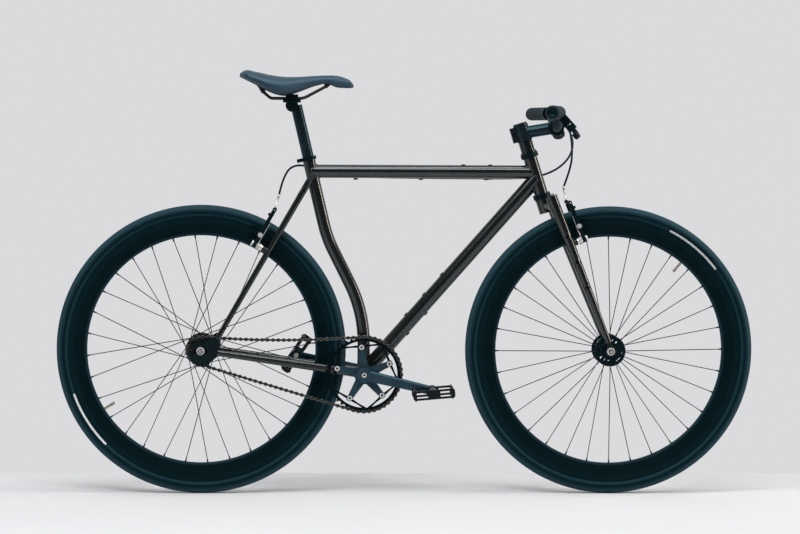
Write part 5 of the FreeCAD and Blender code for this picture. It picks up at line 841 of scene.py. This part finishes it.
# Chain
PITCH = 0.0127
LINKS = 92
RING_TEETH = 44
COG_TEETH = 16
SLACK_RADIUS = 2.3
CHAIN_SIDE = OUTWARD * 0.045
PLATE = 0.0011
PLATE_END = 0.0043
PLATE_WAIST = 0.0019
PLATE_ROWS = np.array([(0.02, 0.0), (0.86, 0.0), (1.0, 0.2), (1.0, 0.8), (0.86, 1.0), (0.02, 1.0)])
INNER_FACE = 0.00165
OUTER_FACE = 0.0028
ROLLER = ((0.0016, -0.0016), (0.0038, -0.0015), (0.0038, 0.0015), (0.0016, 0.0016))


def chain_pins():
    """The pins, one pitch apart: round the ring, along the slack top, round the cog and straight below.

    Worked out with the cog at the origin and the ring along the first axis, then laid on the bicycle.
    """
    ring = PITCH / 2 / math.sin(math.pi / RING_TEETH)
    cog = PITCH / 2 / math.sin(math.pi / COG_TEETH)
    distance = np.linalg.norm(BRACKET - REAR)
    along = ((SLACK_RADIUS + cog) ** 2 - (SLACK_RADIUS + ring) ** 2 + distance ** 2) / (2 * distance)
    above = math.sqrt((SLACK_RADIUS + cog) ** 2 - along ** 2)
    cog_top = math.atan2(above, along)
    ring_top = math.atan2(above, along - distance)
    low = -math.pi / 2 - math.asin((ring - cog) / distance)
    slack = cog_top - ring_top
    arcs = ((distance, 0.0, ring, low, ring_top - low, RING_TEETH * (ring_top - low) / TAU),
            (along, above, SLACK_RADIUS, ring_top + math.pi, slack, SLACK_RADIUS * abs(slack) / PITCH),
            (0.0, 0.0, cog, cog_top, low + TAU - cog_top, COG_TEETH * (low + TAU - cog_top) / TAU))
    straight = math.sqrt(distance ** 2 - (ring - cog) ** 2) / PITCH
    counts = np.array([arc[5] for arc in arcs] + [straight])
    ends = np.concatenate([[0.0], np.cumsum(counts)])
    number = np.arange(LINKS) * ends[-1] / LINKS
    piece = np.searchsorted(ends, number, side="right") - 1
    share = (number - ends[piece]) / counts[piece]
    direction = np.array([math.cos(low), math.sin(low)])
    start, end = cog * direction, np.array([distance, 0.0]) + ring * direction
    flat = start + (end - start) * share[:, None]
    for index, (x, y, radius, first, sweep, _) in enumerate(arcs):
        angle = first + sweep * share
        arc = np.stack([x + radius * np.cos(angle), y + radius * np.sin(angle)], axis=1)
        flat = np.where((piece == index)[:, None], arc, flat)
    forward = (BRACKET - REAR) / distance
    upward = np.array([-forward[2], 0.0, forward[0]])
    return REAR + CHAIN_SIDE + flat[:, :1] * forward + flat[:, 1:] * upward


def link_plates(form, pins, chosen, face):
    """Waisted plates: round about each pin, and drawn in by a cosine between the two pins."""
    x = (PITCH / 2 + PLATE_END) * np.sin(np.linspace(-1, 1, 17) * np.pi / 2)
    past = np.clip(np.abs(x) - PITCH / 2, 0, PLATE_END)
    between = PLATE_END - (PLATE_END - PLATE_WAIST) * (0.5 + 0.5 * np.cos(TAU * x / PITCH))
    high = np.where(past > 0, np.sqrt(PLATE_END ** 2 - past ** 2), between)
    outline = np.concatenate([np.c_[x, high], np.c_[x, -high][-2:0:-1]])
    after = np.roll(pins, -1, axis=0)
    middle = ((pins + after) / 2)[chosen]
    forward = unit(after - pins)[chosen]
    upward = np.cross(forward, OUTWARD)
    for base in (face, -face - PLATE):
        points = (middle[:, None, None] + outline[None, None, :, :1] * forward[:, None, None]
                  + (PLATE_ROWS[:, 0, None] * outline[:, 1])[None, :, :, None] * upward[:, None, None]
                  + (base + PLATE_ROWS[:, 1] * PLATE)[None, :, None, None] * OUTWARD)
        for plate in points:
            form.grid(plate)


def chain():
    """Outer and inner links in bare steel, and rollers and pin heads in a darker steel that paints the shade
    between the plates.
    """
    pins = chain_pins()
    odd = np.arange(LINKS) % 2 == 1
    bright, dark = Form(), Form()
    link_plates(bright, pins, ~odd, OUTER_FACE)
    link_plates(bright, pins, odd, INNER_FACE)
    edge = OUTER_FACE + PLATE
    head = ((0.0018, edge - 0.0002), (0.0017, edge + 0.0003), (0.0001, edge + 0.0005))
    for pin in pins:
        dark.grid(lathe(pin, OUTWARD, ROLLER, 12))
        for side in (1, -1):
            dark.grid(lathe(pin, OUTWARD * side, head, 8))
    bright.build("chain_links", "link_steel", "frame", "chain_steel", "chain")
    dark.build("chain_rollers", "chain_steel", "frame", "chain_steel")


# Weld beads
HEAD_RADIUS = 0.0165
SEAT_RADIUS = 0.015
SHELL_RADIUS = 0.0205
TOP_TUBE_RADIUS = 0.0159
DOWN_TUBE_RADIUS = 0.01745
TOP_TUBE_MIDDLE = np.array([0.0, 0.0, 0.7665])
DOWN_TUBE_MIDDLE = np.array([0.1116155, 0.0, 0.5268776])
DOWN_TUBE_AXIS = np.array([0.660975, 0.0, 0.750408])
SEAT_TUBE_TOP = np.array([-0.233053, 0.0, 0.8004])
SEAT_TUBE_LOW = BRACKET + UP * 0.1
RIPPLE = 0.0034


def weld(foot, along, radius, main_point, main_axis, main_radius, bead):
    """A rippled bead where one round tube meets another: the line where the smaller cylinder's sides
    reach the larger one's surface, with a round bead whose size pulses like a row of pressed coins."""
    along = unit(along)
    first, second = turn_frame(along)
    angle = np.linspace(0, TAU, 240, endpoint=False)
    start = foot + radius * (np.cos(angle)[:, None] * first + np.sin(angle)[:, None] * second)
    offset = start - main_point
    flat_offset = offset - (offset @ main_axis)[:, None] * main_axis
    flat_along = along - (along @ main_axis) * main_axis
    a = flat_along @ flat_along
    b = 2 * flat_offset @ flat_along
    c = (flat_offset ** 2).sum(axis=1) - main_radius ** 2
    reach = (-b - np.sqrt(np.maximum(b * b - 4 * a * c, 0))) / (2 * a)
    line = start + reach[:, None] * along
    tangent = unit(np.roll(line, -1, axis=0) - np.roll(line, 1, axis=0))
    normal = unit(np.cross(tangent, along))
    other = np.cross(tangent, normal)
    size = bead * (1 + 0.13 * np.sin(angle * round(TAU * radius / RIPPLE)))
    turn = np.linspace(0, TAU, 10, endpoint=False)
    ring = np.cos(turn)[None, :, None] * normal[:, None] + np.sin(turn)[None, :, None] * other[:, None]
    return line[:, None] + size[:, None, None] * ring


def welds():
    """Beads round the frame's tube ends."""
    head = (STEER_POINT, unit(STEER_UP), HEAD_RADIUS)
    seat = (SEAT_TUBE_TOP, unit(SEAT_UP), SEAT_RADIUS)
    shell = (BRACKET, -OUTWARD, SHELL_RADIUS)
    form = Form()
    for foot, along, radius, main, bead in (
            (TOP_TUBE_MIDDLE, AHEAD, TOP_TUBE_RADIUS, head, 0.0017),
            (TOP_TUBE_MIDDLE, -AHEAD, TOP_TUBE_RADIUS, seat, 0.0017),
            (DOWN_TUBE_MIDDLE, DOWN_TUBE_AXIS, DOWN_TUBE_RADIUS, head, 0.0018),
            (DOWN_TUBE_MIDDLE, -DOWN_TUBE_AXIS, DOWN_TUBE_RADIUS, shell, 0.0018),
            (SEAT_TUBE_LOW, -UP, SEAT_RADIUS, shell, 0.0017)):
        form.grid(weld(foot, along, radius, *main, bead), ring=True)
    form.build("weld_beads", "frame_paint", "frame", "frame_paint")


# Pedal pins
PEDAL_TILTS = {"right": 5.0, "left": 55.0}
PIN_REACH = 0.043
PIN_FOOT = 0.0108
PIN_PLACES = (0.019, 0.041, 0.065, 0.087)
PIN = ((0.0019, -0.001), (0.0019, 0.0022), (0.0014, 0.0028), (0.0001, 0.0028))


def pedal_pins():
    """Short grub screws that stand on both faces of each pedal's edge bars."""
    for side, tilt in PEDAL_TILTS.items():
        centre = joint_place(side + "_pedal_spin")
        along = math.cos(math.radians(tilt)) * AHEAD + math.sin(math.radians(tilt)) * UP
        above = math.cos(math.radians(tilt)) * UP - math.sin(math.radians(tilt)) * AHEAD
        outward = np.array([0.0, np.sign(centre[1]), 0.0])
        form = Form()
        for reach in (-PIN_REACH, PIN_REACH):
            for face in (-above, above):
                for place in PIN_PLACES:
                    foot = centre + along * reach + face * PIN_FOOT + outward * place
                    form.grid(lathe(foot, face, PIN, 10))
        form.build(side + "_pedal_pins", "dark_steel", side + "_pedal", "dark_steel")


# Brake springs
COIL_RADIUS = 0.0087
COIL_TURNS = 3
COIL_START = 0.0128
COIL_PITCH = 0.0022
SPRING_WIRE = 0.00095
SPRING_LENGTH = 0.060
SPRING_LEAN = 0.0040


def brake_springs():
    """Each arm's return spring: a helix of three turns round the stud's base, then a wire up the arm's back
    that leans in by a smooth step and ends beside the arm."""
    for name, away in (("front_left", FRONT_STUD), ("front_right", FRONT_STUD),
                       ("rear_left", REAR_STUD), ("rear_right", REAR_STUD)):
        pivot = joint_place(name + "_arm_turn")
        side = np.array([0.0, np.sign(pivot[1]), 0.0])
        up = np.array([-away[2], 0.0, away[0]]) * np.sign(away[0])
        turn = np.linspace(0, COIL_TURNS, 90)
        coil = (np.cos(TAU * turn)[:, None] * side + np.sin(TAU * turn)[:, None] * up) * COIL_RADIUS
        coil = coil - away * (COIL_START - COIL_PITCH * turn)[:, None]
        rise = np.linspace(0.001, SPRING_LENGTH, 40)
        share = rise / SPRING_LENGTH
        lean = SPRING_LEAN * share * share * (3 - 2 * share)
        back = COIL_START - COIL_PITCH * COIL_TURNS
        wire = rise[:, None] * up + (COIL_RADIUS - lean)[:, None] * side - away * back
        form = Form().grid(tube(pivot + np.concatenate([coil, wire]), SPRING_WIRE, 8, away))
        form.build(name + "_spring", "silver_steel", name + "_arm", "silver_steel")


# Chainring struts
STRUT_START = (0.067, 0.0074)
STRUT_END_RADIUS = 0.0806
STRUT_END_ANGLE = math.radians(33.1)
STRUT_FLATNESS = 0.55


def ring_struts():
    """The ring's struts: from each bolt's tab to the ring's inner edge, with an oval section, about half as
    thick as it is wide, that widens by a squared cosine toward both ends."""
    share = np.linspace(0, 1, 24)
    radius = 0.0021 + 0.0009 * np.cos(np.pi * share) ** 2
    form = Form()
    for arm in SPIDER_ARMS:
        out = math.cos(arm) * AHEAD + math.sin(arm) * UP
        across = math.cos(arm) * UP - math.sin(arm) * AHEAD
        for way in (across, -across):
            start = STRUT_START[0] * out + STRUT_START[1] * way
            end = STRUT_END_RADIUS * (math.cos(STRUT_END_ANGLE) * out + math.sin(STRUT_END_ANGLE) * way)
            rod = tube(BRACKET + CHAIN_SIDE + start + (end - start) * share[:, None], radius, 12, OUTWARD)
            rod[..., 1] = CHAIN_SIDE[1] + (rod[..., 1] - CHAIN_SIDE[1]) * STRUT_FLATNESS
            form.grid(rod)
    form.build("chainring_struts", "ring_black", "crankset", "black_alloy")


saddle()
grips()
cables()
nipples()
chain()
welds()
pedal_pins()
brake_springs()
ring_struts()

# Stage
FLOOR_HALF = 6.0
FLOOR_NEAR = -3.4
FLOOR_FAR = 0.40
SURROUND_COLOUR = (0.705, 0.707, 0.722, 1.0)
SURROUND_LIGHT = (0.0, 0.35, 0.08, 0.62)


def pale_floor():
    mesh = bpy.data.meshes.new("floor")
    corners = [(-FLOOR_HALF, FLOOR_NEAR, 0), (FLOOR_HALF, FLOOR_NEAR, 0), (FLOOR_HALF, FLOOR_FAR, 0),
               (-FLOOR_HALF, FLOOR_FAR, 0)]
    mesh.from_pydata(corners, [], [(0, 1, 2, 3)])
    shader = finish("floor", (0.66, 0.67, 0.69), (0.68, 0.69, 0.71), 3, (0.75, 0.9))
    mesh.materials.append(shader.material)
    obj = bpy.data.objects.new("floor", mesh)
    bpy.context.collection.objects.link(obj)


def surround():
    """A pale surround: the camera sees an even grey, and the light from it comes mostly from behind."""
    world = bpy.data.worlds.new("world")
    bpy.context.scene.world = world
    world.use_nodes = True
    nodes = Tree(world.node_tree)
    direction = nodes.parts(nodes.add("ShaderNodeTexCoord").outputs["Generated"])
    behind = nodes.remap(direction[1], *SURROUND_LIGHT)
    mix = nodes.add("ShaderNodeMix", data_type="RGBA")
    for socket, value in ((0, nodes.add("ShaderNodeLightPath").outputs["Is Camera Ray"]), (6, behind),
                          (7, SURROUND_COLOUR)):
        nodes.feed(mix, socket, value)
    nodes.feed(world.node_tree.nodes["Background"], "Color", mix.outputs[2])


def area_light(name, place, aim, size, power, spread=180, colour=(1.0, 1.0, 1.0)):
    data = bpy.data.lights.new(name, "AREA")
    data.shape = "RECTANGLE"
    data.size, data.size_y = size
    data.energy = power
    data.spread = math.radians(spread)
    data.color = colour
    light = bpy.data.objects.new(name, data)
    bpy.context.collection.objects.link(light)
    direction = Vector(aim) - Vector(place)
    light.matrix_world = Matrix.Translation(place) @ direction.to_track_quat("-Z", "Y").to_matrix().to_4x4()


def stage():
    """A pale floor and surround, a broad soft light in front, one overhead and a faint warm one ahead."""
    pale_floor()
    surround()
    area_light("front_light", (-0.8, -3.8, 5.0), (0, 0.2, 0.4), (6.0, 1.4), 215)
    area_light("top_light", (0.3, -0.8, 3.9), (0, 0.0, 0.4), (6.0, 0.9), 120)
    area_light("side_light", (3.0, -0.45, 1.0), (0.40, -0.1, 0.55), (0.5, 1.6), 4.6, 60, (1.0, 0.86, 0.72))
    bpy.context.scene.view_settings.view_transform = "Standard"


stage()
